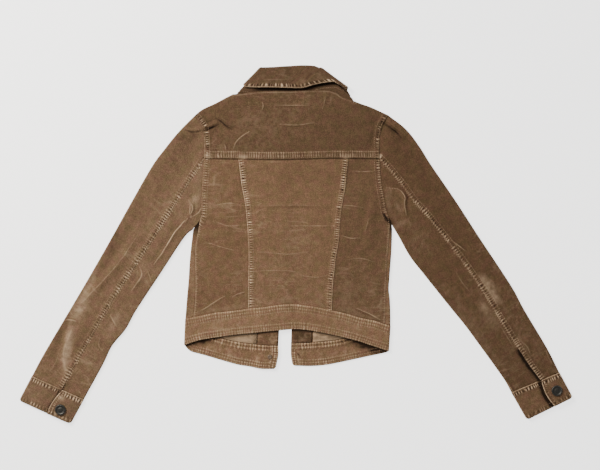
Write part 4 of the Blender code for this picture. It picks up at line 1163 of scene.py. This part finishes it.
def back_panels(finishes):
    """Middle and side panels of the back, between yoke and waistband."""
    ends = [(YOKE, "under"), (BAND, "soft_under")]
    middle_edges = []
    for side in TORSO:
        lap = TORSO[side]["armhole_seams"][1]
        hole = between(armhole(side, "side"), 0, side_start(side), even(ARMHOLE_ROWS))
        sewn = [(hole, lap), (side_seam(side), "side")]
        edge = np.vstack([hole, along(side_seam(side), even(SIDE_ROWS))[1:]])
        rows = run_of(edge) / length_of(edge)
        inner = along(princess(side), rows)
        middle_edges.append((inner, rows))
        plan = back_plan(edge, inner, rows, SEAM_STEPS[:7], WING_MIDDLE_COLUMNS)
        plan = part_underarm(plan, side, side_edge(side))
        seams = [(armhole(side, "side"), lap), sewn[1], (princess(side), "under")]
        grid = lay(plan, 1, seams + ends)
        piece = cloth("back_side_panel_" + side, [wales(grid)], CLOTH,
                      finishes["side_" + side])
        stitch(piece, sewn, grid)
    (left, left_rows), (right, right_rows) = middle_edges
    plan = back_plan(left, right, (left_rows + right_rows) / 2, SEAM_STEPS,
                     MIDDLE_COLUMNS)
    seams = [(princess(side), "lap") for side in TORSO]
    grid = lay(plan, 1, seams + ends)
    piece = cloth("back_center_panel", [wales(grid)], CLOTH, finishes["middle"])
    stitch(piece, seams, grid)


def shoulder_seam(side, fractions):
    """Seam in front of the shoulder fold, from armhole to neck."""
    ends = [along(curve, [SHOULDER_SEAM / length_of(curve)])[0]
            for curve in (armhole(side, "front"), torso(side, "front_neck"))]
    return blend(*ends, fractions)


def back_yoke(finish):
    """Yoke, with a flap over each shoulder down to the front shoulder seam."""
    wings, middle = even(WING_COLUMNS), even(YOKE_MIDDLE_COLUMNS)
    edges, tops = [], []
    for side in TORSO:
        hole = armhole(side, "yoke")
        edges.append(along(hole, near_folds(length_of(hole), FOLD_STEPS, (), YOKE_ROWS)))
        tops.append(along(torso(side, "shoulder"), wings))
    x = [edges[0][-1, 0], princess("left")[0, 0], princess("right")[0, 0],
         edges[1][-1, 0]]
    bottom = np.vstack([stretch(YOKE, x[0], x[0], [0])] + [
        stretch(YOKE, *span)[1:] for span in zip(x, x[1:], (wings, middle, wings))])
    top = np.vstack([tops[0], along(NECK, middle)[1:], tops[1][::-1][1:]])
    plan = patch(top, bottom, *edges, run_of(edges[0]) / length_of(edges[0]),
                 run_of(bottom) / length_of(bottom))
    sewn = [(YOKE, "yoke_lap")] + [(armhole(side, "yoke"), TORSO[side]["armhole_seams"][0])
                                   for side in TORSO]
    grid = lay(plan, 1, [sewn[0], (NECK, "neck")] + sewn[1:])
    grids = [wales(grid)]
    rows = np.array((0,) + FOLD_STEPS + (SHOULDER_SEAM,))
    for side, top in zip(TORSO, tops):
        ends = [along(curve, rows / length_of(curve))
                for curve in (armhole(side, "front"), torso(side, "front_neck"))]
        plan = patch(top, shoulder_seam(side, wings), *ends, rows / SHOULDER_SEAM, wings)
        grids.append(wales(lay(plan, -1)))
    stitch(cloth("back_yoke", grids, CLOTH, finish), sewn, grid)


def front(side, finish, facing_finish, bag_finish):
    """One front, with the strip that comes round the side to the visible side seam.

    The facing and the pocket bag inside it are made from its points, moved up.
    """
    fold = along(torso(side, "side_fold"), even(SIDE_ROWS))
    hole, neck = armhole(side, "front"), torso(side, "front_neck")
    hole, neck = (between(curve, SHOULDER_SEAM / length_of(curve), 1, even(count))
                  for curve, count in ((hole, FRONT_ARMHOLE_ROWS), (neck, FRONT_NECK_ROWS)))
    outer = np.vstack([hole, fold[1:]])
    rows = run_of(outer) / length_of(outer)
    inner = along(np.vstack([neck, torso(side, "front_edge")[1:]]), rows)
    band, shoulder = torso(side, "front_band_seam"), shoulder_seam(side, [0, 1])
    columns, at_shoulder = (
        near_folds(length_of(curve), FOLD_STEPS, steps, FRONT_COLUMNS)
        for curve, steps in ((band, FACING_STEPS), (shoulder, FACING_STEPS_AT_SHOULDER)))
    plan = patch(along(shoulder, at_shoulder), along(band, columns), outer, inner, rows,
                 columns)
    plan = part_underarm(plan, side, side_edge(side))
    low = wales(lay(plan, -1))
    seam = along(side_seam(side), even(SIDE_ROWS))
    columns = near_folds(abs(seam[-1, 0] - fold[-1, 0]), FOLD_STEPS, (), 6)
    top = between(armhole(side, "side"), 1, side_start(side), columns)
    bottom = along(BAND, fractions_at(BAND, blend(fold[-1], seam[-1], columns)[:, 0]))
    strip = part_underarm(patch(top, bottom, fold, seam, even(SIDE_ROWS), columns),
                          side, side_edge(side))
    top = lay(strip, 1, [(side_seam(side), "soft_under"), (BAND, "soft_under")])
    # painted shade on the strip beside the armpit, darker towards the armpit
    top[..., 3] -= STRIP_SHADE * ramp(strip[..., 1], *STRIP_SHADE_ENDS)
    cloth("front_panel_" + side, [low, wales(top)], CLOTH, finish)

    crumple = np.abs(noise(plan * (1.0, 1.6), 11, 114))
    low[..., 2] += CLOTH / 2 + GAP + LINING / 2 + CRUMPLE * crumple
    low[..., 3] += 0.15 - 0.5 * crumple
    below_neck = np.argmax(plan[:, -1, 1] < neck[-1, 1] - 2)
    bag_rows = -round(SIDE_ROWS * BAG_HEIGHT) - 1
    first = len(FOLD_STEPS) + round(FRONT_COLUMNS * BAG_START)
    last = len(FOLD_STEPS) + FRONT_COLUMNS + 1
    for name, part, look in (
            ("front_facing_", low[below_neck:, -len(FACING_STEPS) - 1:], facing_finish),
            ("pocket_bag_", low[bag_rows:, first:last], bag_finish)):
        cloth(name + side, [part], LINING, look, LINING_INSET)


def waistband(finish):
    """Doubled strip from one front edge, round the back, to the other."""
    rows = even(BAND_ROWS)

    def strip(seam, hem, end, layer, kinds, fold_steps, count):
        """Seams and grid of one part of the band, between its seam and its hem."""
        columns = near_folds(length_of(seam), FOLD_STEPS, fold_steps, count)
        plan = patch(along(seam, columns), along(hem, columns),
                     blend(seam[0], hem[0], rows), along(end, rows), rows, columns)
        if layer < 0:
            plan = round_corner(plan, -1, BAND_CORNER)
        seams = list(zip((seam, hem, end), kinds))
        return seams, lay(plan, layer, seams, BAND_LOW, BAND_TOP)

    end = np.array([BAND[-1], HEM[-1]])
    strips = [strip(BAND, HEM, end, 1, ("band", "hem"), FOLD_STEPS, BAND_COLUMNS)]
    for side in TORSO:
        curves = [torso(side, name)
                  for name in ("front_band_seam", "front_hem", "band_end")]
        strips.append(strip(*curves, -1, ("front_band", "front_hem", "front_hem"), (),
                            FRONT_BAND_COLUMNS))
    piece = cloth("waistband", [band_wales(grid) for _, grid in strips], DOUBLED, finish)
    for (seams, grid), height in zip(strips, (TOP_CAST, LOW_CAST, LOW_CAST)):
        stitch(piece, seams, grid, height)


def cuff(side, finish):
    """Doubled strip round the wrist; its buttoned end lies over the other end."""
    sizes = SLEEVES[side]
    outer, _, inner = sleeve_curves(side)
    top = np.array([outer[-1], inner[-1]])
    hem, tab = (sleeve_points(side, sizes[name]) for name in ("hem", "tab"))
    width = np.linalg.norm(top[1] - top[0])
    tab_at = [np.linalg.norm(tab[0] - top[0]) / width,
              np.linalg.norm(tab[1] - hem[0]) / width]
    runs = sizes["tab_runs"]
    lap = CUFF_UNDERLAP / width
    fold = 1 if runs > 0 else 0

    def place(v, c):
        """Points at shares of the cuff's depth and width."""
        v, c = v[..., None], c[..., None]
        return (top[0] * (1 - v) + hem[0] * v) * (1 - c) + (
            top[1] * (1 - v) + hem[1] * v) * c

    def strip(start, end, fractions, corners):
        """Plan between two lines that give a share of the width for each depth."""
        v = even(BAND_ROWS)[:, None]
        plan = place(v, start(v) + (end(v) - start(v)) * fractions)
        for corner in corners:
            plan = round_corner(plan, corner, CUFF_CORNER)
        return plan

    def tab_line(v):
        """The bowed edge of the tab."""
        bow = runs * sizes["tab_bow"] / width * 4 * v * (1 - v)
        return tab_at[0] * (1 - v) + tab_at[1] * v - bow

    tab = place(even(CUFF_COLUMNS), tab_line(even(CUFF_COLUMNS)))
    reach = abs(fold - tab_at[0])
    over = near_folds(width * reach, (), FOLD_STEPS, CUFF_COLUMNS)
    under = near_folds(width, FOLD_STEPS, FOLD_STEPS, CUFF_LOW_COLUMNS)
    back = near_folds(width * (abs(1 - fold - tab_at[0]) + lap), FOLD_STEPS, (),
                      CUFF_COLUMNS)
    edges = [(top, "cuff_band"), (hem, "cuff_hem")]
    grids = [lay(plan, layer, seams, BAND_LOW, CUFF_TOP) for plan, layer, seams in (
        (strip(tab_line, lambda v: fold, over, [-1]), 1, edges + [(tab, "tab")]),
        (strip(lambda v: fold, lambda v: 1 - fold, under, [0, -1]), -1, ()),
        (strip(lambda v: 1 - fold, lambda v: tab_line(v) + runs * lap, back, [0]), 1,
         edges + [(tab, sizes["gap"])]))]
    grids[0][..., 2] += (CUFF_TAB - CUFF_TOP) * (1 - ramp(over * reach, lap, reach))
    piece = cloth("cuff_" + side, [band_wales(grid) for grid in grids], DOUBLED, finish,
                  2 * GAP)
    stitch(piece, edges + [(tab, "tab")], grids[0])
    stitch(piece, edges, grids[2])


def inset_point(curve, on_line, outward, inset):
    """Point of a curve at a given depth inside a line, clear of the curve's start."""
    curve = curve[run_of(curve) > COLLAR_CORNER]
    depth = (on_line - curve[:len(curve) // 2]) @ outward
    return np.array([np.interp(inset, depth, curve[:len(depth), k]) for k in (0, 1)])


def direction(start, end):
    """Direction from one point to another, of length 1."""
    return (end - start) / np.linalg.norm(end - start)


def collar_fold(side, base, top, fall):
    """Sections round the fold at one side of the neck, from the back to the front."""
    turned = 1 if side == "left" else -1
    outward = None
    for start in (base, fall):
        axis = direction(start, top)
        if outward is None or (start - top) @ outward > 0:
            outward = np.array([-axis[1], axis[0]]) * turned
    inset = COLLAR_RADIUS + ROLL_RADIUS + DOUBLED / 2
    back_base, front_base = (inset_point(curve, top, outward, inset)
                             for curve in (NECK[::turned], torso(side, "front_neck")))
    up, axis = direction(base, top), direction(fall, top)
    fall = fall + outward * ((top - fall) @ outward)
    sections = []
    for turn in np.radians(COLLAR_FOLD_TURNS):
        on_back, halfway = max(math.cos(turn), 0), math.sin(turn)
        low = blend(back_base, front_base, [(1 - math.cos(turn)) / 2])[0]
        low = low + up * (COLLAR_FOLD_INSET * halfway)
        tip = fall - outward * inset + axis * COLLAR_TIP * halfway
        depth = inset * (1 - COLLAR_TOP_OUT * on_back)
        crest = top - outward * depth + axis * COLLAR_TOP_RISE * on_back
        sections.append((low, crest, tip, outward, turn))
    return sections


def collar_stations():
    """Sections of the collar: base, roll and edge points, outward side and turn.

    The turn is 0 on the back, half a turn on the front ends under the fronts, and
    goes from one to the other round the fold at each side of the neck.
    """
    roll, edge = smooth(ROLL_LINE), smooth(FALL_EDGE)
    parts = []
    for (side, front), corner in zip(COLLAR_FRONT.items(), (0, -1)):
        parts.append(collar_fold(side, NECK[corner], roll[corner], edge[corner]))
        for f in even(COLLAR_FRONT_ROWS)[1:]:
            low, top, fall = (along(smooth(rows), [f])[0] for rows in (
                TORSO[side]["front_neck"], front["roll"], front["edge"]))
            low = low + direction(low, top) * COLLAR_FRONT_INSET
            parts[-1].append((low, top, fall, np.zeros(2), math.pi))
    back = []
    for f in even(COLLAR_BACK_ROWS)[COLLAR_BACK_SKIP:-COLLAR_BACK_SKIP]:
        inner = 0.5 + (f - 0.5) * COLLAR_BACK_SHARE
        places = [along(line, [at])[0] for line, at in ((NECK, f), (roll, inner),
                                                        (edge, inner))]
        back.append((*places, np.zeros(2), 0.0))
    return parts[0][::-1] + back + parts[1]


def refine(grid, step):
    """The same surface with its rows evenly spaced."""
    run = run_of(grid[..., :2]).mean(1)
    where = np.linspace(0, run[-1], round(run[-1] / step))
    flat = grid.reshape(len(grid), -1)
    fine = [np.interp(where, run, flat[:, k]) for k in range(flat.shape[1])]
    return np.stack(fine, axis=1).reshape((-1,) + grid.shape[1:])


def collar_grid():
    """Grid of x, y, z and facing up: along the collar, and from base to edge."""
    bends = np.radians(COLLAR_BENDS)
    straight = np.full(COLLAR_COLUMNS + 1, ROLL_RADIUS)
    reach = COLLAR_RADIUS + np.concatenate([-straight, -ROLL_RADIUS * np.cos(bends),
                                            straight])
    rows = []
    for base, roll, edge, outward, turn in collar_stations():
        up = direction(base, roll)
        centre = roll - up * ROLL_RADIUS
        fall = roll + direction(roll, edge) * ROLL_RADIUS
        plan = np.vstack([blend(base, centre, even(COLLAR_COLUMNS)),
                          centre + np.outer(np.sin(bends), up) * ROLL_RADIUS,
                          blend(fall, edge, even(COLLAR_COLUMNS))])
        plan = plan + np.outer(reach * math.sin(turn), outward)
        plan[0] -= up * COLLAR_UNDER_YOKE
        sag = (lift(base[None], True)[0] - COLLAR_LIFT) * max(math.cos(turn), 0)
        z = COLLAR_MIDDLE + sag + reach * math.cos(turn)
        z[:2] -= GAP + DOUBLED / 2
        rows.append(np.column_stack([plan, z, np.full(len(plan), math.cos(turn))]))
    grid = refine(np.array(rows), COLLAR_ROW_STEP)
    grid[..., 3] = np.clip(grid[..., 3], 0, 1)
    return grid


def collar(finish):
    """Doubled strip folded at its roll line, its fall outside, round the neck."""
    grid = collar_grid()
    shape = grid.shape[:2]
    from_edge = run_of(grid[:, ::-1, :3], 1)[:, ::-1]
    run = run_of(grid[:, -1, :2])[:, None] + 0 * from_edge
    height, wear_and_shading = seam_shape(from_edge, run, "collar_edge", 5)
    fall_part = grid[..., 3] * (1 - ramp(from_edge, *FALL_ENDS))
    flat = grid[..., :2].reshape(-1, 2)
    creased, rubbed, fold = crease_form(flat)
    height += COLLAR_CREASED * creased.reshape(shape)
    in_middle = 1 - ramp(np.abs(grid[..., 0] - COLLAR_MIDDLE_X), *COLLAR_SHADED)
    lifted = FALL_LIFT * in_middle * (1 - ramp(from_edge, 0, FALL_LIFT_REACH))
    grid[..., 2] += (height + lifted) * fall_part
    stand = np.arange(shape[1]) <= COLLAR_COLUMNS
    below = distance_to(flat, smooth(FALL_EDGE)).reshape(shape)
    # painted shadow on the stand just below the fall's edge, in the middle
    shaded = STAND_SHADE * stand * in_middle * (1 - ramp(below, *SHADE_BELOW_FALL))
    grid[..., 3] = (wear_and_shading + rubbed.reshape(shape)) * fall_part - shaded
    fold[:, 1] *= fall_part.ravel()
    grid = np.concatenate([grid, fold.reshape(shape + (2,))], axis=-1)
    piece = cloth("collar", [band_wales(grid.transpose(1, 0, 2))], DOUBLED, finish,
                  4 * GAP)
    stitch(piece, [(smooth(FALL_EDGE), "collar_edge")], grid[:, -8:])


def buttonhole():
    """Dense stitches round the slit of the waistband's buttonhole."""
    x, y, long, wide, degrees = BUTTONHOLE
    turn = math.radians(degrees)
    for angle in np.linspace(0, 2 * math.pi, BUTTONHOLE_STITCHES, endpoint=False):
        ends = []
        for size in (0.55, 1.0):
            u, v = long * math.cos(angle), size * wide * math.sin(angle)
            u *= 0.8 + 0.2 * size
            ends.append((x + u * math.cos(turn) - v * math.sin(turn),
                         y + u * math.sin(turn) + v * math.cos(turn)))
        sew(cloth_name("waistband"), *ends, LOW_CAST)


def thread(finish):
    """All stitches as one mesh: short threads that dip into the cloth at both ends."""
    starts, ends = np.array(STITCHES).transpose(1, 0, 2)
    along_thread = ends - starts
    along_thread /= np.linalg.norm(along_thread, axis=1, keepdims=True)
    across = np.cross(along_thread, (0, 0, 1))
    across /= np.linalg.norm(across, axis=1, keepdims=True)
    up = np.cross(across, along_thread)
    turns = np.radians(np.arange(THREAD_SIDES) * 360 / THREAD_SIDES)[:, None]
    spokes = across[:, None] * np.cos(turns) + up[:, None] * np.sin(turns)
    rings = []
    for share, rise, thick in THREAD_RINGS:
        centre = starts * (1 - share) + ends * share
        centre[:, 2] += rise * THREAD_RADIUS * MM
        rings.append(centre[:, None] + thick * THREAD_RADIUS * MM * spokes)
    points = np.stack(rings, axis=1).reshape(-1, 3)
    k = np.arange(THREAD_SIDES)
    following = (k + 1) % THREAD_SIDES
    quad = np.stack([k, following, following + THREAD_SIDES, k + THREAD_SIDES], axis=1)
    quads = np.vstack([quad + ring * THREAD_SIDES for ring in range(len(rings) - 1)])
    first = THREAD_SIDES * len(rings) * np.arange(len(starts))[:, None, None]
    quads = (quads[None] + first).reshape(-1, 4)
    mesh = mesh_of("stitching", points.tolist(), quads.tolist())
    mesh.shade_smooth()
    mesh.materials.append(finish)
    obj = show("stitching", mesh)
    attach(obj, "root")


def metal_piece(node, profile, finish, faces_down):
    """Turned metal piece in place of a solid button, of its size and on its side."""
    low, high = (np.array(corner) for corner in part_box(node))
    radius, height = (high[0] - low[0]) / 2, high[2] - low[2]
    verts = [(r * radius, 0, h * height) for r, h in profile]
    edges = [(k, k + 1) for k in range(len(verts) - 1)]
    name = node + "_metal"
    obj = take_over(show(name, mesh_of(name, verts, [], edges)), node, finish)
    screw = obj.modifiers.new("turned", "SCREW")
    screw.steps = screw.render_steps = BUTTON_SIDES
    screw.use_merge_vertices = True
    screw.merge_threshold = 0.00001
    screw.use_normal_calculate = True
    screw.use_smooth_shade = True
    x, y, _ = (low + high) / 2
    obj.location = (x, y, high[2] if faces_down else low[2])
    if faces_down:
        obj.rotation_euler = (math.pi, 0, 0)


class Finish:
    """A material that is built up node by node."""

    def __init__(self, name, **values):
        self.material = bpy.data.materials.new(name)
        self.material.use_nodes = True
        self.tree = self.material.node_tree
        self.shader = self.tree.nodes["Principled BSDF"]
        for socket, value in values.items():
            self.shader.inputs[socket.replace("_", " ")].default_value = value

    def add(self, kind, inputs=(), out=0, **settings):
        """Add a node, set it up, feed it and give its output."""
        node = self.tree.nodes.new("ShaderNode" + kind)
        for key, value in settings.items():
            setattr(node, key, value)
        for socket, value in dict(inputs).items():
            if isinstance(value, bpy.types.NodeSocket):
                self.tree.links.new(value, node.inputs[socket])
            else:
                node.inputs[socket].default_value = value
        return node.outputs[out]

    def sums(self, operation, a, b, c=0.0, clamp=False):
        """Result of a sum on numbers or outputs."""
        return self.add("Math", {0: a, 1: b, 2: c}, operation=operation, use_clamp=clamp)

    def times(self, a, b, clamp=False):
        """One number or output times another."""
        return self.sums("MULTIPLY", a, b, clamp=clamp)

    def times_add(self, a, b, c):
        """One number or output times another, and a third added."""
        return self.sums("MULTIPLY_ADD", a, b, c)

    def noise(self, vector, scale, detail=2.0, rough=0.5):
        """Soft noise from 0 to 1."""
        return self.add("TexNoise", {"Vector": vector, "Scale": scale, "Detail": detail,
                                     "Roughness": rough})

    def spread(self, value, low, high, start=0.0, end=1.0):
        """Value that goes from start to end while the input goes from low to high."""
        return self.add("MapRange", {0: value, 1: low, 2: high, 3: start, 4: end})

    def wave(self, across, pitch):
        """Sine wave of a given pitch."""
        return self.sums("SINE", self.times(across, 2 * math.pi / pitch), 0.0)

    def mix(self, share, a, b, how="MIX"):
        """Mix two colours."""
        return self.add("Mix", {0: share, 6: a, 7: b}, out=2, data_type="RGBA",
                        blend_type=how)

    def stored(self, name, out=2):
        """Value stored at the points of a piece."""
        return self.add("Attribute", out=out, attribute_name=name)

    def split(self, vector):
        """The parts of a vector."""
        return self.add("SeparateXYZ", {0: vector}).node.outputs

    def colour(self, output):
        """Use an output as the colour."""
        self.tree.links.new(output, self.shader.inputs["Base Color"])

    def bump(self, height, strength, distance):
        """Raise the surface in its shading."""
        bump = self.add("Bump", {"Height": height, "Strength": strength,
                                 "Distance": distance})
        self.tree.links.new(bump, self.shader.inputs["Normal"])


def shade(colour, factor):
    """Colour with each channel times a factor, as red, green, blue, alpha."""
    return tuple(value * factor for value in colour) + (1.0,)


def corduroy(name, tone, red):
    """Brown needlecord: fine wales, washed streaks, worn seams and creases, with painted
    shade and highlights mixed in.
    """
    finish = Finish(name, Roughness=0.95, Sheen_Weight=0.12, Sheen_Roughness=0.5,
                    Specular_IOR_Level=0.1, Sheen_Tint=SHEEN)
    brown = np.array(BROWN) * (red, 1, 1 / red)
    grain = finish.add("UVMap", uv_map="grain")
    worn_and_shaded = finish.stored("worn_and_shaded")
    fold = finish.split(finish.stored("fold", 1))
    square = finish.times(fold[0], fold[0])
    line = finish.sums("POWER", math.e, finish.times(square, -1.0))
    worn_and_shaded = finish.times_add(fold[1], line, worn_and_shaded)
    across, along_wale, _ = finish.split(grain)
    wale = finish.times_add(finish.wave(across, WALE_PITCH), 0.5, 0.5)
    stretched = finish.add("CombineXYZ", {0: finish.times(across, 0.9),
                                          1: finish.times(along_wale, 0.06)})
    streak = finish.noise(stretched, 1.0, 3.0)
    hue = finish.noise(grain, 0.07, 4.0, 0.6)
    cloud = finish.noise(grain, 0.06, 4.0, 0.6)
    mottle = finish.noise(grain, 0.2, 2.0)
    speck = finish.noise(grain, 0.6, 2.0, 0.7)
    tint = finish.mix(finish.spread(hue, 0.35, 0.65),
                      *(shade(brown * lean, tone) for lean in HUES))
    fleck = finish.spread(finish.noise(grain, 0.7, 1.0), 0.62, 0.72)
    level = finish.times_add(wale, 0.1, -1.27)
    for field, weight in ((streak, 0.6), (cloud, 0.7), (mottle, 0.6), (speck, 2.5),
                          (fleck, 0.35)):
        level = finish.times_add(field, weight, level)
    level = finish.sums("MAXIMUM", level, 0.7)
    level = finish.add("CombineColor", {0: level, 1: level, 2: level})
    base = finish.mix(1.0, tint, level, "MULTIPLY")
    pale_speckle = finish.times_add(speck, 1.0, 0.45)
    # pale where rubbed and where highlights are painted, DARK where shade is painted
    pale = finish.times(worn_and_shaded, pale_speckle, clamp=True)
    base = finish.mix(pale, base, shade(PALE, 0.6 + 0.4 * tone))
    dark = finish.times(worn_and_shaded, -0.7, clamp=True)
    finish.colour(finish.mix(dark, base, shade(DARK, tone)))
    relief = finish.sums("ADD", finish.times(wale, 0.5), finish.times(speck, 0.7))
    finish.bump(relief, 0.6, 0.0004)
    return finish.material


def twill():
    """Pale tan pocket twill with fine diagonal ribs."""
    finish = Finish("pocket_twill_fine", Roughness=0.9, Specular_IOR_Level=0.15)
    grain = finish.add("UVMap", uv_map="grain")
    across, along_wale, _ = finish.split(grain)
    rib = finish.wave(finish.sums("ADD", across, along_wale), TWILL_PITCH)
    share = finish.times_add(rib, 0.12, finish.noise(grain, 0.15, 4.0))
    # the stored values bring painted shade from the hem and the hem opening onto the twill
    share = finish.sums("ADD", share, finish.stored("worn_and_shaded"), clamp=True)
    finish.colour(finish.mix(share, shade(TWILL, 0.45), shade(TWILL, 1.35)))
    finish.bump(rib, 0.4, 0.0002)
    return finish.material


def plain(name, colour, roughness, metallic, scale, contrast):
    """Finish of one colour that varies softly with the place."""
    finish = Finish(name, Metallic=metallic, Specular_IOR_Level=0.3)
    cloud = finish.noise(finish.add("TexCoord", out=3), scale, 4.0, 0.6)
    finish.colour(finish.mix(cloud, shade(colour, 1 - contrast),
                             shade(colour, 1 + contrast)))
    rough = finish.spread(cloud, 0.3, 0.7, roughness - 0.1, roughness + 0.1)
    finish.tree.links.new(rough, finish.shader.inputs["Roughness"])
    finish.bump(cloud, 0.2, 0.0002)
    return finish.material


def jacket():
    """All pieces of the jacket with their finishes."""
    finishes = {name: corduroy("needlecord_" + name, *look)
                for name, look in TONES.items()}
    back_yoke(finishes["yoke"])
    back_panels(finishes)
    pockets = twill()
    for side in TORSO:
        front(side, finishes["front"], finishes["facing_" + side], pockets)
        sleeve(side, finishes["sleeve_" + side])
        cuff(side, finishes["cuff_" + side])
    waistband(finishes["band"])
    collar(finishes["collar"])
    buttonhole()
    thread(plain("thread", THREAD, 0.85, 0.0, 300, 0.15))
    metal = plain("antique_metal", METAL, 0.5, 1.0, 400, 0.35)
    worn_metal = plain("worn_metal", TACK_METAL, 0.6, 0.6, 400, 0.3)
    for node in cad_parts:
        if node.endswith("tack"):
            metal_piece(node, TACK_PROFILE, worn_metal, False)
        elif "button" in node:
            metal_piece(node, BUTTON_PROFILE, metal, not node.startswith("cuff"))
    bpy.context.view_layer.update()


def studio():
    """Pale floor, soft light from the left and a camera straight above."""
    s = FLOOR_HALF
    corners = [(-s, -s, 0), (s, -s, 0), (s, s, 0), (-s, s, 0)]
    floor = show("floor", mesh_of("floor", corners, [(0, 1, 2, 3)]))
    floor.location.z = FLOOR_DROP
    finish = Finish("floor", Roughness=0.9, Specular_IOR_Level=0.0,
                    Base_Color=FLOOR_COLOUR, Emission_Color=FLOOR_COLOUR,
                    Emission_Strength=FLOOR_GLOW)
    floor.data.materials.append(finish.material)
    world = bpy.data.worlds.new("studio")
    world.use_nodes = True
    colour, strength = world.node_tree.nodes["Background"].inputs[:2]
    colour.default_value, strength.default_value = WORLD_COLOUR, WORLD_LIGHT
    bpy.context.scene.world = world
    light = bpy.data.lights.new("key", "AREA")
    light.size, light.energy, light.color = KEY_SIZE, KEY_POWER, KEY_COLOUR
    key = show("key", light)
    key.location = KEY_PLACE
    key.rotation_euler = (-Vector(KEY_PLACE)).to_track_quat("-Z", "Y").to_euler()
    camera = bpy.data.cameras.new("camera")
    camera.sensor_width = SENSOR
    camera.lens = SENSOR * CAMERA_HEIGHT / (PHOTO_WIDTH * PIXEL * MM)
    eye = show("camera", camera)
    x = (PHOTO_WIDTH / 2 - ZERO_PIXEL[0]) * PIXEL * MM
    y = (ZERO_PIXEL[1] - PHOTO_HEIGHT / 2) * PIXEL * MM
    eye.location = (x + SHIFT[0], y + SHIFT[1], CAMERA_HEIGHT)
    bpy.context.scene.camera = eye


studio()
jacket()
